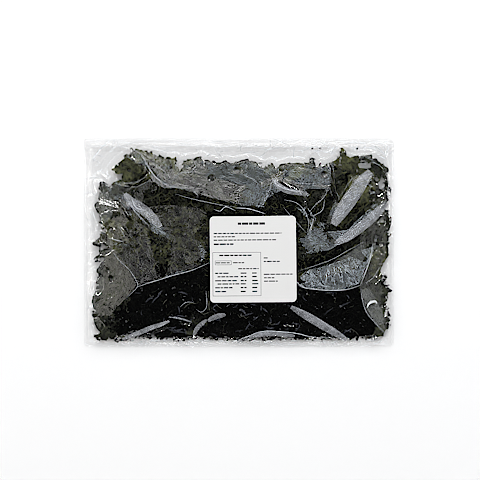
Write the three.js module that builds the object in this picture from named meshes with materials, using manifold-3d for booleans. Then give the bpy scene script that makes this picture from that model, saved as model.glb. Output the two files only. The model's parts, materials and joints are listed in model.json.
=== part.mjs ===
// A clear, heat-sealed pouch of dried wakame, lying on its back with its front face up.
//
// The pouch is two films welded together round their edges. Between them lies a bed of broken,
// dried leaf, and on the bed lie larger pieces of frond, crumpled as they dried, with torn edges.
// The front film is drawn tight over the leaf, so it stands in flat facets between hard creases.
// A square paper label is stuck to it.
//
// Millimetres, +Z up. +X runs along the pouch and +Y towards its top seal. The origin is under the
// middle of the pouch, on the surface that it lies on.
import * as THREE from "three";
import { mergeVertices } from "three/addons/utils/BufferGeometryUtils.js";
import Module from "manifold-3d";

const wasm = await Module();
wasm.setup();

// Driving dimensions
const POUCH = { width: 300, height: 202, corner: 6 };
const SEAL = { left: 5, right: 4, bottom: 4, top: 5.5 }; // width of the welded band on each side
const FILM = 0.6; // thickness of a film
const GAP = 0.3; // clearance between pieces that touch
const SEAM_Z = 7; // underside of the front film at the weld
const LABEL = { side: 83, corner: 4, thick: 0.4, x: 13.6, y: -15.7, turn: 0.008 };
const LABEL_BED = { left: -30, right: 57, low: -59.5, high: 28, zLow: 22.6, zHigh: 18.6 }; // flat film under it
const BLADE = 0.7; // thickness of a dried frond
const NET = 6; // spacing of the points that the fronds are drawn on
const BED_NET = 9; // the same for the bed
const NET_MARGIN = 10.5; // from the pouch's edge to the outermost points of a net
const CHIPS = { onBed: 120, roundEdge: 40 };

// Draws from 0 to 1 that are the same on every run.
function seeded(seed) {
  let state = seed >>> 0;
  return () => {
    state = (state + 0x6d2b79f5) >>> 0;
    let t = Math.imul(state ^ (state >>> 15), 1 | state);
    t = (t + Math.imul(t ^ (t >>> 7), 61 | t)) ^ t;
    return ((t ^ (t >>> 14)) >>> 0) / 4294967296;
  };
}

const clamp = (v, low, high) => Math.min(high, Math.max(low, v));
const flatDistance = (a, b) => Math.hypot(a[0] - b[0], a[1] - b[1]);

// A closed solid between two surfaces on one flat triangulation. The triangles are counter-clockwise
// seen from above, and both faces are split alike, so a waved sheet never crosses itself.
function slab(points, triangles, top, bottom) {
  const corners = [];
  const put = (i, surface) => corners.push(points[i][0], points[i][1], surface[i]);
  const edges = new Map();
  for (const [a, b, c] of triangles) {
    for (const i of [a, b, c]) put(i, top);
    for (const i of [a, c, b]) put(i, bottom);
    for (const [u, v] of [[a, b], [b, c], [c, a]])
      if (!edges.delete(`${v},${u}`)) edges.set(`${u},${v}`, [u, v]);
  }
  for (const [u, v] of edges.values()) {
    put(u, bottom); put(v, bottom); put(v, top);
    put(u, bottom); put(v, top); put(u, top);
  }
  const geometry = new THREE.BufferGeometry();
  geometry.setAttribute("position", new THREE.Float32BufferAttribute(corners, 3));
  geometry.computeVertexNormals();
  return geometry;
}

// Delaunay triangulation of flat points, added one at a time.
function triangulate(points) {
  const far = 1e4;
  const all = [...points, [-far, -far], [far, -far], [0, far]];
  const n = points.length;
  const ringHolds = ([a, b, c], p) => {
    const [ax, ay, bx, by] = [all[a][0] - p[0], all[a][1] - p[1], all[b][0] - p[0], all[b][1] - p[1]];
    const [cx, cy] = [all[c][0] - p[0], all[c][1] - p[1]];
    const a2 = ax * ax + ay * ay;
    const b2 = bx * bx + by * by;
    const c2 = cx * cx + cy * cy;
    return a2 * (bx * cy - cx * by) - b2 * (ax * cy - cx * ay) + c2 * (ax * by - bx * ay) > 1e-9;
  };
  let triangles = [[n, n + 1, n + 2]];
  for (let i = 0; i < n; i++) {
    const broken = new Set(triangles.filter((t) => ringHolds(t, all[i])));
    const edges = new Map();
    for (const [a, b, c] of broken)
      for (const [u, v] of [[a, b], [b, c], [c, a]])
        if (!edges.delete(`${v},${u}`)) edges.set(`${u},${v}`, [u, v]);
    triangles = triangles.filter((t) => !broken.has(t));
    for (const [u, v] of edges.values()) triangles.push([u, v, i]);
  }
  return triangles.filter((t) => t.every((k) => k < n));
}

// Height of a triangulated surface over a flat point, or null outside it.
function heightOn(surface, x, y) {
  for (const [a, b, c] of surface.triangles) {
    const [p, q, r] = [surface.points[a], surface.points[b], surface.points[c]];
    const area = (q[0] - p[0]) * (r[1] - p[1]) - (r[0] - p[0]) * (q[1] - p[1]);
    const v = ((x - p[0]) * (r[1] - p[1]) - (r[0] - p[0]) * (y - p[1])) / area;
    const w = ((q[0] - p[0]) * (y - p[1]) - (x - p[0]) * (q[1] - p[1])) / area;
    if (v >= -1e-9 && w >= -1e-9 && v + w <= 1 + 1e-9)
      return p[2] + v * (q[2] - p[2]) + w * (r[2] - p[2]);
  }
  return null;
}

// Pouch films

// The weld isn't quite level: it rises and falls a little round the pouch.
const seamLift = (x, y) => 0.45 * Math.sin(x / 31 + 0.6) + 0.35 * Math.sin(y / 23 + x / 90);

// A ring of points round the pouch, inset on each side, with rounded corners.
function ring(inset, z, radius, counts) {
  const left = -POUCH.width / 2 + inset.left;
  const right = POUCH.width / 2 - inset.right;
  const low = -POUCH.height / 2 + inset.bottom;
  const high = POUCH.height / 2 - inset.top;
  const points = [];
  const sides = [
    [[left, low], [right, low], counts.along],
    [[right, low], [right, high], counts.across],
    [[right, high], [left, high], counts.along],
    [[left, high], [left, low], counts.across],
  ];
  for (const [from, to, n] of sides) {
    const length = flatDistance(from, to);
    const [ux, uy] = [(to[0] - from[0]) / length, (to[1] - from[1]) / length];
    const at = (s) => [from[0] + ux * s, from[1] + uy * s, z];
    for (let i = 0; i <= n; i++) points.push(at(radius + ((length - 2 * radius) * i) / n));
    const bulge = radius * (1 - Math.SQRT1_2);
    points.push([to[0] - (ux + uy) * bulge, to[1] - (uy - ux) * bulge, z]);
  }
  return points;
}

const inset = (more) => ({
  left: SEAL.left + more,
  right: SEAL.right + more,
  bottom: SEAL.bottom + more,
  top: SEAL.top + more,
});
const NONE = { left: 0, right: 0, bottom: 0, top: 0 };

// Joins rings of equal length with quads, and fills the last one with a triangulation of its points
// and any inner ones.
function film(rings, inner) {
  const n = rings[0].length;
  const middle = [...rings.at(-1), ...inner];
  const kept = middle.filter((p, i) => middle.findIndex((q) => flatDistance(p, q) < 1.5) === i);
  const points = [...rings.slice(0, -1).flat(), ...kept];
  const triangles = [];
  for (let k = 0; k < rings.length - 1; k++)
    for (let i = 0; i < n; i++) {
      const j = (i + 1) % n;
      const [a, b, c, d] = [k * n + i, k * n + j, (k + 1) * n + j, (k + 1) * n + i];
      triangles.push([a, b, c], [a, c, d]);
    }
  const nudge = (i) => 1e-5 * Math.sin(i * 12.9898); // keeps no four points on one circle
  const spread = kept.map((p, i) => [p[0] + nudge(i), p[1] + nudge(i + 0.5)]);
  const first = (rings.length - 1) * n;
  for (const t of triangulate(spread)) triangles.push(t.map((i) => i + first));
  return { points, triangles };
}

// The creases that the front film is folded along: x, y and the height of the film's underside.
// Between them it is flat. Crests are where the leaf holds it up, and valleys where it is drawn in.
const { left: bedLeft, right: bedRight, low: bedLow, high: bedHigh, zLow, zHigh } = LABEL_BED;
const CREASES = [
  // round the label, which keeps the film flat
  [[bedLeft, bedHigh, zHigh], [bedRight, bedHigh, zHigh], [bedRight, bedLow, zLow],
    [bedLeft, bedLow, zLow], [bedLeft, bedHigh, zHigh]],
  // the long crest across the pouch, over the deepest leaf
  [[-128, -82, 12.5], [-116, -62, 17], [-98, -42, 21.2], [-62, -31, 22.6], [-36, -22, 22]],
  [[-120, -6, 16.8], [-109, -22, 19], [-100, -36, 20.7]],
  // the upper crest, the valley under it, and the hollow at its end
  [[-91, 80, 12.4], [-82, 70, 15.4], [-66, 54, 20], [-45, 48, 20.3], [-20, 41, 20.8], [0, 36, 21],
    [21, 33, 20.8]],
  [[-76, 38, 16.8], [-60, 38, 16.8], [-42, 36, 17.2], [-34, 31, 18.2]],
  [[-84, 79, 13.4], [-64, 79, 14.2], [-63, 70, 14.6]],
  [[-38, 81, 12.4], [-50, 66, 16.4]],
  [[-25, 62, 15.4], [-3, 58, 16], [18, 56, 16.6]],
  [[21, 33, 20.8], [27, 44, 19.2], [32, 56, 17]],
  // the level patch inside the upper crest
  [[-105, 60, 15], [-92, 50, 17], [-76, 46, 17.4]],
  // the slanting ridge left of it
  [[-116, 38, 15.8], [-104, 27, 18.4], [-88, 11, 20]],
  [[-108, 48, 15.6], [-93, 35, 17], [-77, 22, 17.8]],
  [[-132, 9, 13], [-120, 4, 15.6], [-106, 0, 18]],
  [[-132, -16, 13.6], [-129, -45, 13.6]],
  [[-62, 4, 19.2], [-42, 5, 19.6]],
  // the short bright ridge above the label
  [[31, 57, 17.2], [49, 47, 19.2], [68, 43, 18.8]],
  [[37, 67, 14.4], [54, 58, 15.8], [68, 52, 16.8]],
  [[44, 37, 18.4], [62, 33, 18.4]],
  [[86, 63, 14.4], [82, 48, 15.8]],
  // round a drawn-in point, right of the label
  [[66, 27, 18.6], [67, 11, 18.8]],
  [[66, 38, 17.2], [72, 26, 16.8], [73, 14, 17]],
  [[86, 38, 16], [84, 20, 16.6], [84, 4, 17.6]],
  [[66, -12, 20.6], [76, -12, 20.4], [86, -8, 19.4]],
  [[66, -25, 19.4], [78, -22, 18], [91, -18, 17.4], [104, -12, 16.6], [116, -7, 15.8]],
  // two slanting folds towards the upper right corner
  [[132, 67, 12.6], [112, 43, 16.6], [94, 21, 19.2]],
  [[114, 67, 12.6], [99, 48, 14.4], [88, 34, 15.8]],
  [[135, 29, 13], [124, 18, 15.8], [108, 4, 18.4], [98, -2, 18.8]],
  [[135, 44, 12.2], [122, 31, 14.2], [106, 14, 16.4]],
  // the crest under the label's right half, and the folds that run off it
  [[64, -40, 21.4], [72, -44, 21.4], [93, -46, 20.8], [116, -40, 19]],
  [[128, -12, 14.4], [122, -27, 16.8], [116, -40, 19]],
  [[116, -40, 19], [123, -62, 15.8], [133, -80, 12.2]],
  // where the film turns down to the bottom seal
  [[-105, -82, 12.8], [-60, -81, 14], [-20, -81, 14.4], [60, -81, 14], [105, -82, 12.8]],
];
const CREASE_STEP = 9;

function alongCrease(line) {
  const points = [line[0]];
  for (let i = 1; i < line.length; i++) {
    const n = Math.max(1, Math.round(flatDistance(line[i - 1], line[i]) / CREASE_STEP));
    for (let k = 1; k <= n; k++) points.push(line[i - 1].map((v, j) => v + ((line[i][j] - v) * k) / n));
  }
  return points;
}

const RING_COUNTS = { along: 18, across: 12 };
const frontFilm = film(
  [
    ring(NONE, SEAM_Z, POUCH.corner, RING_COUNTS),
    ring(inset(0), SEAM_Z, 3, RING_COUNTS),
    ring(inset(3.5), 8.8, 4, RING_COUNTS),
    ring(inset(8), 10.8, 5, RING_COUNTS),
  ],
  CREASES.flatMap(alongCrease),
);
const backFilm = film(
  [
    ring(NONE, SEAM_Z - GAP - FILM, POUCH.corner, RING_COUNTS),
    ring(inset(0), SEAM_Z - GAP - FILM, 3, RING_COUNTS),
    ring(inset(5), 3.2, 6, RING_COUNTS),
    ring(inset(12), 1, 10, RING_COUNTS),
    ring(inset(22), 0, 16, RING_COUNTS),
  ],
  [],
);
// Both films follow the weld where they meet, and less towards the middle.
for (const surface of [frontFilm, backFilm])
  for (const p of surface.points) {
    const fromEdge = Math.min(POUCH.width / 2 - Math.abs(p[0]), POUCH.height / 2 - Math.abs(p[1]));
    p[2] += seamLift(p[0], p[1]) * clamp((16 - fromEdge) / 8, 0, 1);
  }

// Room between the films for the leaf

const REACH = 4.6; // half the longest edge on a net, so that no crease cuts through a triangle
const AROUND = [[0, 0]];
for (let k = 0; k < 8; k++) AROUND.push([Math.cos((k * Math.PI) / 4), Math.sin((k * Math.PI) / 4)]);

// Lowest clear point and highest clear point over x, y, or null outside the weld.
function room(x, y, reach = REACH) {
  let [floor, roof] = [-Infinity, Infinity];
  for (const [dx, dy] of AROUND) {
    const above = heightOn(frontFilm, x + dx * reach, y + dy * reach);
    const below = heightOn(backFilm, x + dx * reach, y + dy * reach);
    if (above === null || below === null) return null;
    roof = Math.min(roof, above - 0.5);
    floor = Math.max(floor, below + FILM + 0.4);
  }
  return roof - floor > 1.5 ? { floor, roof } : null;
}

// A net of unevenly spaced points over the pouch, split into triangles, with the room at each point.
function net(spacing, seed) {
  const draw = seeded(seed);
  const [width, height] = [POUCH.width - 2 * NET_MARGIN, POUCH.height - 2 * NET_MARGIN];
  const [nx, ny] = [Math.round(width / spacing), Math.round(height / spacing)];
  const nudge = () => (draw() - 0.5) * 0.55;
  const points = [];
  for (let j = 0; j <= ny; j++)
    for (let i = 0; i <= nx; i++)
      points.push([((i + nudge()) / nx - 0.5) * width, ((j + nudge()) / ny - 0.5) * height]);
  const triangles = [];
  for (let j = 0; j < ny; j++)
    for (let i = 0; i < nx; i++) {
      const a = j * (nx + 1) + i;
      const [b, c, d] = [a + 1, a + nx + 2, a + nx + 1];
      if (draw() < 0.5) triangles.push([a, b, c], [a, c, d]);
      else triangles.push([a, b, d], [b, c, d]);
    }
  const nearWeld = ([x, y]) => Math.min(POUCH.width / 2 - Math.abs(x), POUCH.height / 2 - Math.abs(y)) < 17;
  return { points, triangles, rooms: points.map((p) => room(...p, nearWeld(p) ? REACH / 2 : REACH)) };
}

const centreOf = (points, [a, b, c]) => [
  (points[a][0] + points[b][0] + points[c][0]) / 3,
  (points[a][1] + points[b][1] + points[c][1]) / 3,
];

// Keeps the largest piece of a set of triangles, with no two parts that meet only at a corner.
function onePiece(triangles) {
  let kept = [...triangles];
  const split = (some, joined) => {
    const groups = [];
    const left = new Set(some);
    for (const start of some) {
      if (!left.delete(start)) continue;
      const group = [start];
      for (const t of group) for (const o of left) if (joined(t, o)) left.delete(o), group.push(o);
      groups.push(group);
    }
    return groups.sort((a, b) => b.length - a.length);
  };
  const shareEdge = (s, t) => s.filter((i) => t.includes(i)).length === 2;
  for (let again = true; again; ) {
    again = false;
    kept = split(kept, shareEdge)[0] ?? [];
    for (const corner of new Set(kept.flat())) {
      const fans = split(kept.filter((t) => t.includes(corner)), shareEdge);
      if (fans.length < 2) continue;
      const dropped = new Set(fans.slice(1).flat());
      kept = kept.filter((t) => !dropped.has(t));
      again = true;
    }
  }
  return kept;
}

// Fronds

// Each frond is a strip of blade along a line: x, y and half its width. The first ones lie on top.
const FRONDS = {
  corner_leaf_upper_left: [[-115, 67, 7], [-105, 80, 9], [-91, 80, 9]],
  spike_left: [[-137, 62, 4], [-126, 50, 6], [-114, 40, 6]],
  curl_left: [[-134, 40, 7], [-119, 26, 8]],
  frill_left: [[-130, 14, 5], [-118, 4, 6]],
  shred_left: [[-138, -2, 4], [-124, -12, 6]],
  broad_leaf_lower_left: [[-112, -14, 12], [-121, -44, 15], [-127, -76, 9]],
  folded_leaf_top_left: [[-86, 70, 8], [-62, 68, 10], [-40, 74, 8]],
  broad_leaf_top: [[-8, 74, 8], [8, 62, 13], [18, 46, 11]],
  leaf_top_middle: [[-30, 70, 9], [-22, 56, 9]],
  leaf_top_right: [[32, 70, 8], [58, 68, 8]],
  tendril_top: [[66, 74, 3], [72, 83, 3]],
  ruffle_top_right: [[62, 66, 7], [86, 58, 9]],
  arrow_leaf: [[102, 90, 4], [108, 76, 5]],
  arched_strap: [[114, 78, 4], [119, 85, 5], [130, 84, 5], [139, 75, 6]],
  hanging_leaf: [[139, 66, 7], [141, 46, 6]],
  slanting_strap_upper: [[125, 66, 8], [108, 44, 10], [92, 22, 9]],
  slanting_strap_lower: [[140, 34, 6], [122, 12, 8], [104, -4, 7]],
  frill_right: [[139, 20, 6], [138, -2, 6]],
  shred_right: [[139, -12, 5], [131, -24, 5]],
  fan_leaf: [[64, -34, 8], [94, -34, 11], [118, -22, 13]],
  leaf_lower_right: [[128, -46, 7], [136, -62, 8], [139, -80, 6]],
  broad_leaf_middle_left: [[-100, 12, 16], [-68, 6, 24], [-40, 8, 22]],
  leaf_beside_label: [[64, 20, 9], [76, 4, 11], [66, -12, 8]],
  leaf_behind_ridge: [[-108, 52, 9], [-84, 46, 9], [-58, 50, 9]],
  leaf_above_label: [[-34, 38, 6], [20, 38, 6]],
  leaf_right_middle: [[62, 46, 9], [88, 36, 10]],
  shred_in_crumbs: [[-48, -80, 5], [-32, -68, 5]],
};

const leafNet = net(NET, 7);
const ripple = (x, y) =>
  0.5 + 0.27 * Math.sin(x / 4.1 + 1.8 * Math.sin(y / 9.7)) + 0.23 * Math.sin(y / 3.6 + 1.4 * Math.sin(x / 8.3));

// Top of the blade in a layer at a point of the net. Layer 0 is the upper one.
function bladeTop(i, layer) {
  const { floor, roof } = leafNet.rooms[i];
  const [x, y] = leafNet.points[i];
  const ease = clamp((roof - floor - 3) / 9, 0, 1);
  return roof - 0.2 - 2.2 * ease * ripple(x, y) - layer * (BLADE + 0.45 + 0.9 * ease);
}

// Triangles of the net that lie on a strip whose edges are lobed and torn.
function strip(line, seed) {
  const draw = seeded(seed);
  const phase = draw() * 7;
  return leafNet.triangles.filter((t) => {
    const tear = draw();
    const [x, y] = centreOf(leafNet.points, t);
    let nearest = -Infinity;
    for (let i = 1; i < line.length; i++) {
      const [ax, ay, aw] = line[i - 1];
      const [bx, by, bw] = line[i];
      const length = Math.hypot(bx - ax, by - ay);
      const s = clamp(((x - ax) * (bx - ax) + (y - ay) * (by - ay)) / length ** 2, 0, 1);
      const away = Math.hypot(x - ax - s * (bx - ax), y - ay - s * (by - ay));
      const lobes = 1 + 0.22 * Math.sin((s * length) / 3.1 + phase + i);
      nearest = Math.max(nearest, (aw + s * (bw - aw)) * lobes - away);
    }
    return nearest > (tear - 0.5) * 3.2;
  });
}

function frondNodes() {
  const taken = [new Set(), new Set(), new Set(), new Set()];
  const nodes = [];
  let seed = 101;
  for (const [name, line] of Object.entries(FRONDS)) {
    const wanted = strip(line, seed++);
    const fits = (t, layer) => {
      const deep = (i) => {
        const at = leafNet.rooms[i];
        return at && bladeTop(i, layer) - BLADE > at.floor + 0.2;
      };
      return t.every((i) => deep(i) && !taken[layer].has(i));
    };
    let best = [];
    let chosen = 0;
    for (let layer = 0; layer < taken.length; layer++) {
      const piece = onePiece(wanted.filter((t) => fits(t, layer)));
      if (piece.length > best.length * 1.15) [best, chosen] = [piece, layer];
    }
    for (const i of new Set(best.flat())) taken[chosen].add(i);
    nodes.push({ name, triangles: best, layer: chosen });
  }
  return nodes;
}

// Bed of broken leaf

const BED_OUTLINE = [
  [-131, -89], [-60, -96], [40, -96], [135, -92], [140, -40], [138, 20], [129, 58], [96, 66],
  [40, 68], [0, 66], [-60, 64], [-104, 62], [-121, 34], [-128, -20],
];

function insideOutline(outline, x, y) {
  let inside = false;
  outline.forEach(([ax, ay], k) => {
    const [bx, by] = outline[(k + 1) % outline.length];
    if (ay > y !== by > y && x < ax + ((y - ay) / (by - ay)) * (bx - ax)) inside = !inside;
  });
  return inside;
}

function toManifold(geometry) {
  const bare = geometry.index ? geometry.toNonIndexed() : geometry.clone();
  for (const key of Object.keys(bare.attributes)) if (key !== "position") bare.deleteAttribute(key);
  const merged = mergeVertices(bare, 1e-4);
  const mesh = new wasm.Mesh({
    numProp: 3,
    vertProperties: merged.attributes.position.array,
    triVerts: new Uint32Array(merged.index.array),
  });
  return new wasm.Manifold(mesh);
}

function toGeometry(solid) {
  const { vertProperties, triVerts } = solid.getMesh();
  const geometry = new THREE.BufferGeometry();
  geometry.setAttribute("position", new THREE.BufferAttribute(vertProperties, 3));
  geometry.setIndex(new THREE.BufferAttribute(triVerts, 1));
  geometry.computeVertexNormals();
  return geometry;
}

// A chip of broken leaf: a thin curled scale.
function chip(length, width, thick, place) {
  const scale = new THREE.OctahedronGeometry(1, 0);
  const at = scale.attributes.position;
  for (let i = 0; i < at.count; i++) {
    const [x, y, z] = [at.getX(i), at.getY(i), at.getZ(i)];
    at.setXYZ(i, x * length, y * width + 0.35 * width * x * x, z * thick + 0.5 * thick * y);
  }
  return toManifold(scale.applyMatrix4(place));
}

function bedNode(fronds) {
  const bladeUndersides = fronds.flatMap(({ triangles, layer }) =>
    [...new Set(triangles.flat())].map((i) => [...leafNet.points[i], bladeTop(i, layer) - BLADE]),
  );
  const underFronds = (x, y, reach) =>
    Math.min(...bladeUndersides.filter((p) => flatDistance(p, [x, y]) < reach).map((p) => p[2]));
  const bedNet = net(BED_NET, 23);
  const draw = seeded(5);
  const [top, bottom] = [[], []];
  bedNet.points.forEach(([x, y], i) => {
    const relief = 3.2 * draw();
    const at = bedNet.rooms[i];
    if (!at) return;
    const roof = Math.min(at.roof - 1.6 - relief, underFronds(x, y, BED_NET * 1.25) - 0.5);
    top[i] = Math.max(roof, at.floor + 0.9);
    bottom[i] = at.floor + 0.1;
  });
  const whole = bedNet.triangles.filter((t) => {
    const [x, y] = centreOf(bedNet.points, t);
    return t.every((i) => bedNet.rooms[i]) && insideOutline(BED_OUTLINE, x, y);
  });
  const clear = whole.filter((t) => t.every((i) => {
    const [x, y] = bedNet.points[i];
    return underFronds(x, y, BED_NET * 1.25) > top[i] + 0.3;
  }));
  const bedTriangles = onePiece(clear);
  let solid = toManifold(slab(bedNet.points, bedTriangles, top, bottom));
  const surface = {
    points: bedNet.points.map(([x, y], i) => [x, y, top[i] ?? 0]),
    triangles: bedTriangles,
  };
  const addChip = (x, y, z, size) => {
    const turn = new THREE.Euler((draw() - 0.5) * 0.9, (draw() - 0.5) * 0.9, draw() * Math.PI * 2, "ZYX");
    const place = new THREE.Matrix4().makeRotationFromEuler(turn).setPosition(x, y, z);
    solid = solid.add(chip(size, size * (0.35 + 0.3 * draw()), 0.8, place));
  };
  for (let made = 0, tries = 0; made < CHIPS.onBed && tries < 4000; tries++) {
    const [x, y] = [(draw() - 0.5) * 280, (draw() - 0.5) * 190];
    const ground = heightOn(surface, x, y);
    const above = room(x, y);
    if (ground === null || !above) continue;
    const size = 3.2 + 2.6 * draw();
    if (Math.min(underFronds(x, y, NET + size), above.roof) < ground + 2.6) continue;
    addChip(x, y, ground + 0.7, size);
    made++;
  }
  // lumps that break up the outline of the bed
  const rim = new THREE.CatmullRomCurve3(BED_OUTLINE.map(([x, y]) => new THREE.Vector3(x, y, 0)), true);
  for (let k = 0; k < CHIPS.roundEdge; k++) {
    const at = rim.getPointAt((k + 0.6 * draw()) / CHIPS.roundEdge);
    const size = 3.6 + 2 * draw();
    const space = room(at.x, at.y);
    if (!space || space.roof - space.floor < 3.2) continue;
    const z = (space.roof + space.floor) / 2 - 0.4;
    if (underFronds(at.x, at.y, NET + size) < z + 1.9) continue;
    addChip(at.x, at.y, z, size);
  }
  const bodies = solid.decompose().sort((a, b) => b.volume() - a.volume());
  return toGeometry(bodies[0]);
}

// Loose crumbs of leaf, caught between the films just below the top seal

const CRUMBS = [[71, 91.3, 1.2], [78.5, 91.5, 0.9], [114.5, 91.3, 1.3]];

function crumb([x, y, size], index) {
  const geometry = new THREE.IcosahedronGeometry(size, 0);
  geometry.scale(1, 0.75, 0.7);
  geometry.rotateZ(index * 1.1);
  const space = room(x, y, size);
  geometry.translate(x, y, (space.floor + space.roof) / 2);
  return geometry;
}

// Label

function labelGeometry() {
  const half = LABEL.side / 2 - LABEL.corner;
  const outline = new THREE.Shape();
  const corners = [[half, -half, -90], [half, half, 0], [-half, half, 90], [-half, -half, 180]];
  for (const [x, y, from] of corners) {
    const start = THREE.MathUtils.degToRad(from);
    outline.absarc(x, y, LABEL.corner, start, start + Math.PI / 2, false);
  }
  return new THREE.ExtrudeGeometry(outline, { depth: LABEL.thick, bevelEnabled: false, curveSegments: 5 });
}

// Materials

const material = (color, roughness, extra = {}) =>
  new THREE.MeshStandardMaterial({ color, roughness, metalness: 0, flatShading: true, ...extra });
const clearFilm = material(0xf2f4f5, 0.12, { transparent: true, opacity: 0.18, side: THREE.DoubleSide });
const paper = material(0xf1f0ed, 0.75);
const driedBlade = material(0x34382a, 0.55, { side: THREE.DoubleSide });
const paleBlade = material(0x4c5036, 0.55, { side: THREE.DoubleSide });
const brokenLeaf = material(0x14161a, 0.6);

// Assembly

const pouch = new THREE.Group();
function add(name, geometry, finish) {
  const mesh = new THREE.Mesh(geometry, finish);
  mesh.name = name;
  pouch.add(mesh);
  return mesh;
}

const heights = (surface, lift) => surface.points.map((p) => p[2] + lift);
const sheet = (surface) => slab(surface.points, surface.triangles, heights(surface, FILM), heights(surface, 0));
add("film_front", sheet(frontFilm), clearFilm);
add("film_back", sheet(backFilm), clearFilm);

const label = add("label", labelGeometry(), paper);
const fall = (zLow - zHigh) / (bedHigh - bedLow);
const bedAt = (y) => zLow - fall * (y - bedLow);
label.position.set(LABEL.x, LABEL.y, bedAt(LABEL.y) + FILM + GAP);
label.rotation.set(-Math.atan(fall), 0, LABEL.turn);

const fronds = frondNodes();
fronds.forEach(({ name, triangles, layer }, k) => {
  const top = [];
  for (const i of triangles.flat()) top[i] = bladeTop(i, layer);
  const bottom = top.map((z) => z - BLADE);
  add(name, slab(leafNet.points, triangles, top, bottom), k % 3 ? driedBlade : paleBlade);
});
add("bed_of_broken_leaf", bedNode(fronds), brokenLeaf);
CRUMBS.forEach((row, k) => add(`crumb_${k + 1}`, crumb(row, k), brokenLeaf));

export default pouch;
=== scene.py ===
# A clear, heat-sealed pouch of dried wakame, lying on its back on a white table.
#
# The order is: the camera, the table and its light, the two films with their folds and the painted
# glints on their creases, the bed of broken leaf, the shreds and stems in it, the fronds, the loose
# crumbs, and last the label.
import json
import math

import bpy
import numpy as np
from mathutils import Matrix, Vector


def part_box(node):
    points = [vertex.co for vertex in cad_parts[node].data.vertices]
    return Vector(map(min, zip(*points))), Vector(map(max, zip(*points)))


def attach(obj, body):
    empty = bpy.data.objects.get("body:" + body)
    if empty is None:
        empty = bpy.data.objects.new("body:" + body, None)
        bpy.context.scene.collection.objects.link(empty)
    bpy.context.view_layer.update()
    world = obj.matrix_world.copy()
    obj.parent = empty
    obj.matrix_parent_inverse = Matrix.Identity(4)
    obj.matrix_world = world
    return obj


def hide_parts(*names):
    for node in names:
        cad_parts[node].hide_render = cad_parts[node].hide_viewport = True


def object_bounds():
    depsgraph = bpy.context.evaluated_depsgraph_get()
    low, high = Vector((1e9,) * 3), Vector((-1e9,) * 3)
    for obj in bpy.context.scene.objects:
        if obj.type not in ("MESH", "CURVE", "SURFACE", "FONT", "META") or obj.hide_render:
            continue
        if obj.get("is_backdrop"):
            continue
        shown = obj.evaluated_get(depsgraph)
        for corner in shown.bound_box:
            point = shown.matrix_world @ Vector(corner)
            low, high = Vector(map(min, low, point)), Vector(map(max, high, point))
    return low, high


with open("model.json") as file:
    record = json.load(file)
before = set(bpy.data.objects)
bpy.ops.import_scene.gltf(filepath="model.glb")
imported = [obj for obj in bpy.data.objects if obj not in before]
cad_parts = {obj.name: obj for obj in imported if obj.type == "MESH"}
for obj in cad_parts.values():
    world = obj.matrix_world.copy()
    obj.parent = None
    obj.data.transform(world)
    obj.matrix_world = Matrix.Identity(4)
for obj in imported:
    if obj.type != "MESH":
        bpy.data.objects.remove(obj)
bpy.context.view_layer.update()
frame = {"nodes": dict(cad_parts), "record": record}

# The camera. The pouch is photographed from straight above, with its top seal at the top of the
# frame and its middle a little off the middle of the picture.
MM = 0.001
CAMERA_HEIGHT = 1.55
PICTURE_WIDTH = 465 * MM
PICTURE_MIDDLE = (1.0 * MM, 2.7 * MM)
WELD_HEIGHT = 7 * MM
scene = bpy.context.scene
scene.view_settings.view_transform = "Standard"
camera_data = bpy.data.cameras.new("camera")
camera_data.lens = camera_data.sensor_width * CAMERA_HEIGHT / PICTURE_WIDTH
camera_data.clip_end = 20
camera = bpy.data.objects.new("camera", camera_data)
camera.location = (*PICTURE_MIDDLE, WELD_HEIGHT + CAMERA_HEIGHT)
scene.collection.objects.link(camera)
scene.camera = camera

# The table and the light. The table is matt white. Softboxes hang overhead past the top seal, and
# two past the left end, and their tubes show through the cloth as bright bands. The camera's own
# place is dark, so level film looks black over the leaf, and film that leans away mirrors a softbox
# and looks grey. Softboxes at the sides fill the shadows, and bare tubes and a small lamp glint.
SOFTBOX_HEIGHT = 2.4
COOL = (0.88, 1.0, 1.12)
WHITE = (1, 1, 1)
WARM = (1.03, 1.0, 0.92)
BAND_SHARE = 0.4
BAND_FILL = 0.3
BAND_DROP = 0.02


def softbox(name, low, high, radiance, colour=WHITE):
    """A level softbox overhead between two corners, shining straight down."""
    data = bpy.data.lights.new(name, "AREA")
    data.shape = "RECTANGLE"
    data.size = high[0] - low[0]
    data.size_y = high[1] - low[1]
    data.energy = radiance * math.pi * data.size * data.size_y
    data.color = colour
    lamp = bpy.data.objects.new(name, data)
    lamp.location = ((low[0] + high[0]) / 2, (low[1] + high[1]) / 2, SOFTBOX_HEIGHT)
    lamp.visible_camera = False
    scene.collection.objects.link(lamp)
    return lamp


def banded_softbox(name, low, high, radiance, bands, across, colour=WHITE):
    """A softbox whose tubes show, as bands that lie side by side along x (0) or y (1)."""
    softbox(name, low, high, radiance * (1 - BAND_SHARE), colour)
    pitch = (high[across] - low[across]) / bands
    for k in range(bands):
        middle = low[across] + (k + 0.5) * pitch
        near = list(low)
        far = list(high)
        near[across] = middle - pitch * BAND_FILL / 2
        far[across] = middle + pitch * BAND_FILL / 2
        tube = softbox(f"{name}_tube_{k + 1}", near, far, radiance * BAND_SHARE / BAND_FILL, colour)
        tube.location.z -= BAND_DROP


def side_softbox(name, place, size, radiance):
    """A softbox beside the table that faces the pouch."""
    lamp = softbox(name, (0, 0), size, radiance)
    lamp.location = place
    lamp.rotation_euler = (-lamp.location).to_track_quat("-Z", "Y").to_euler()
    return lamp


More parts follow.
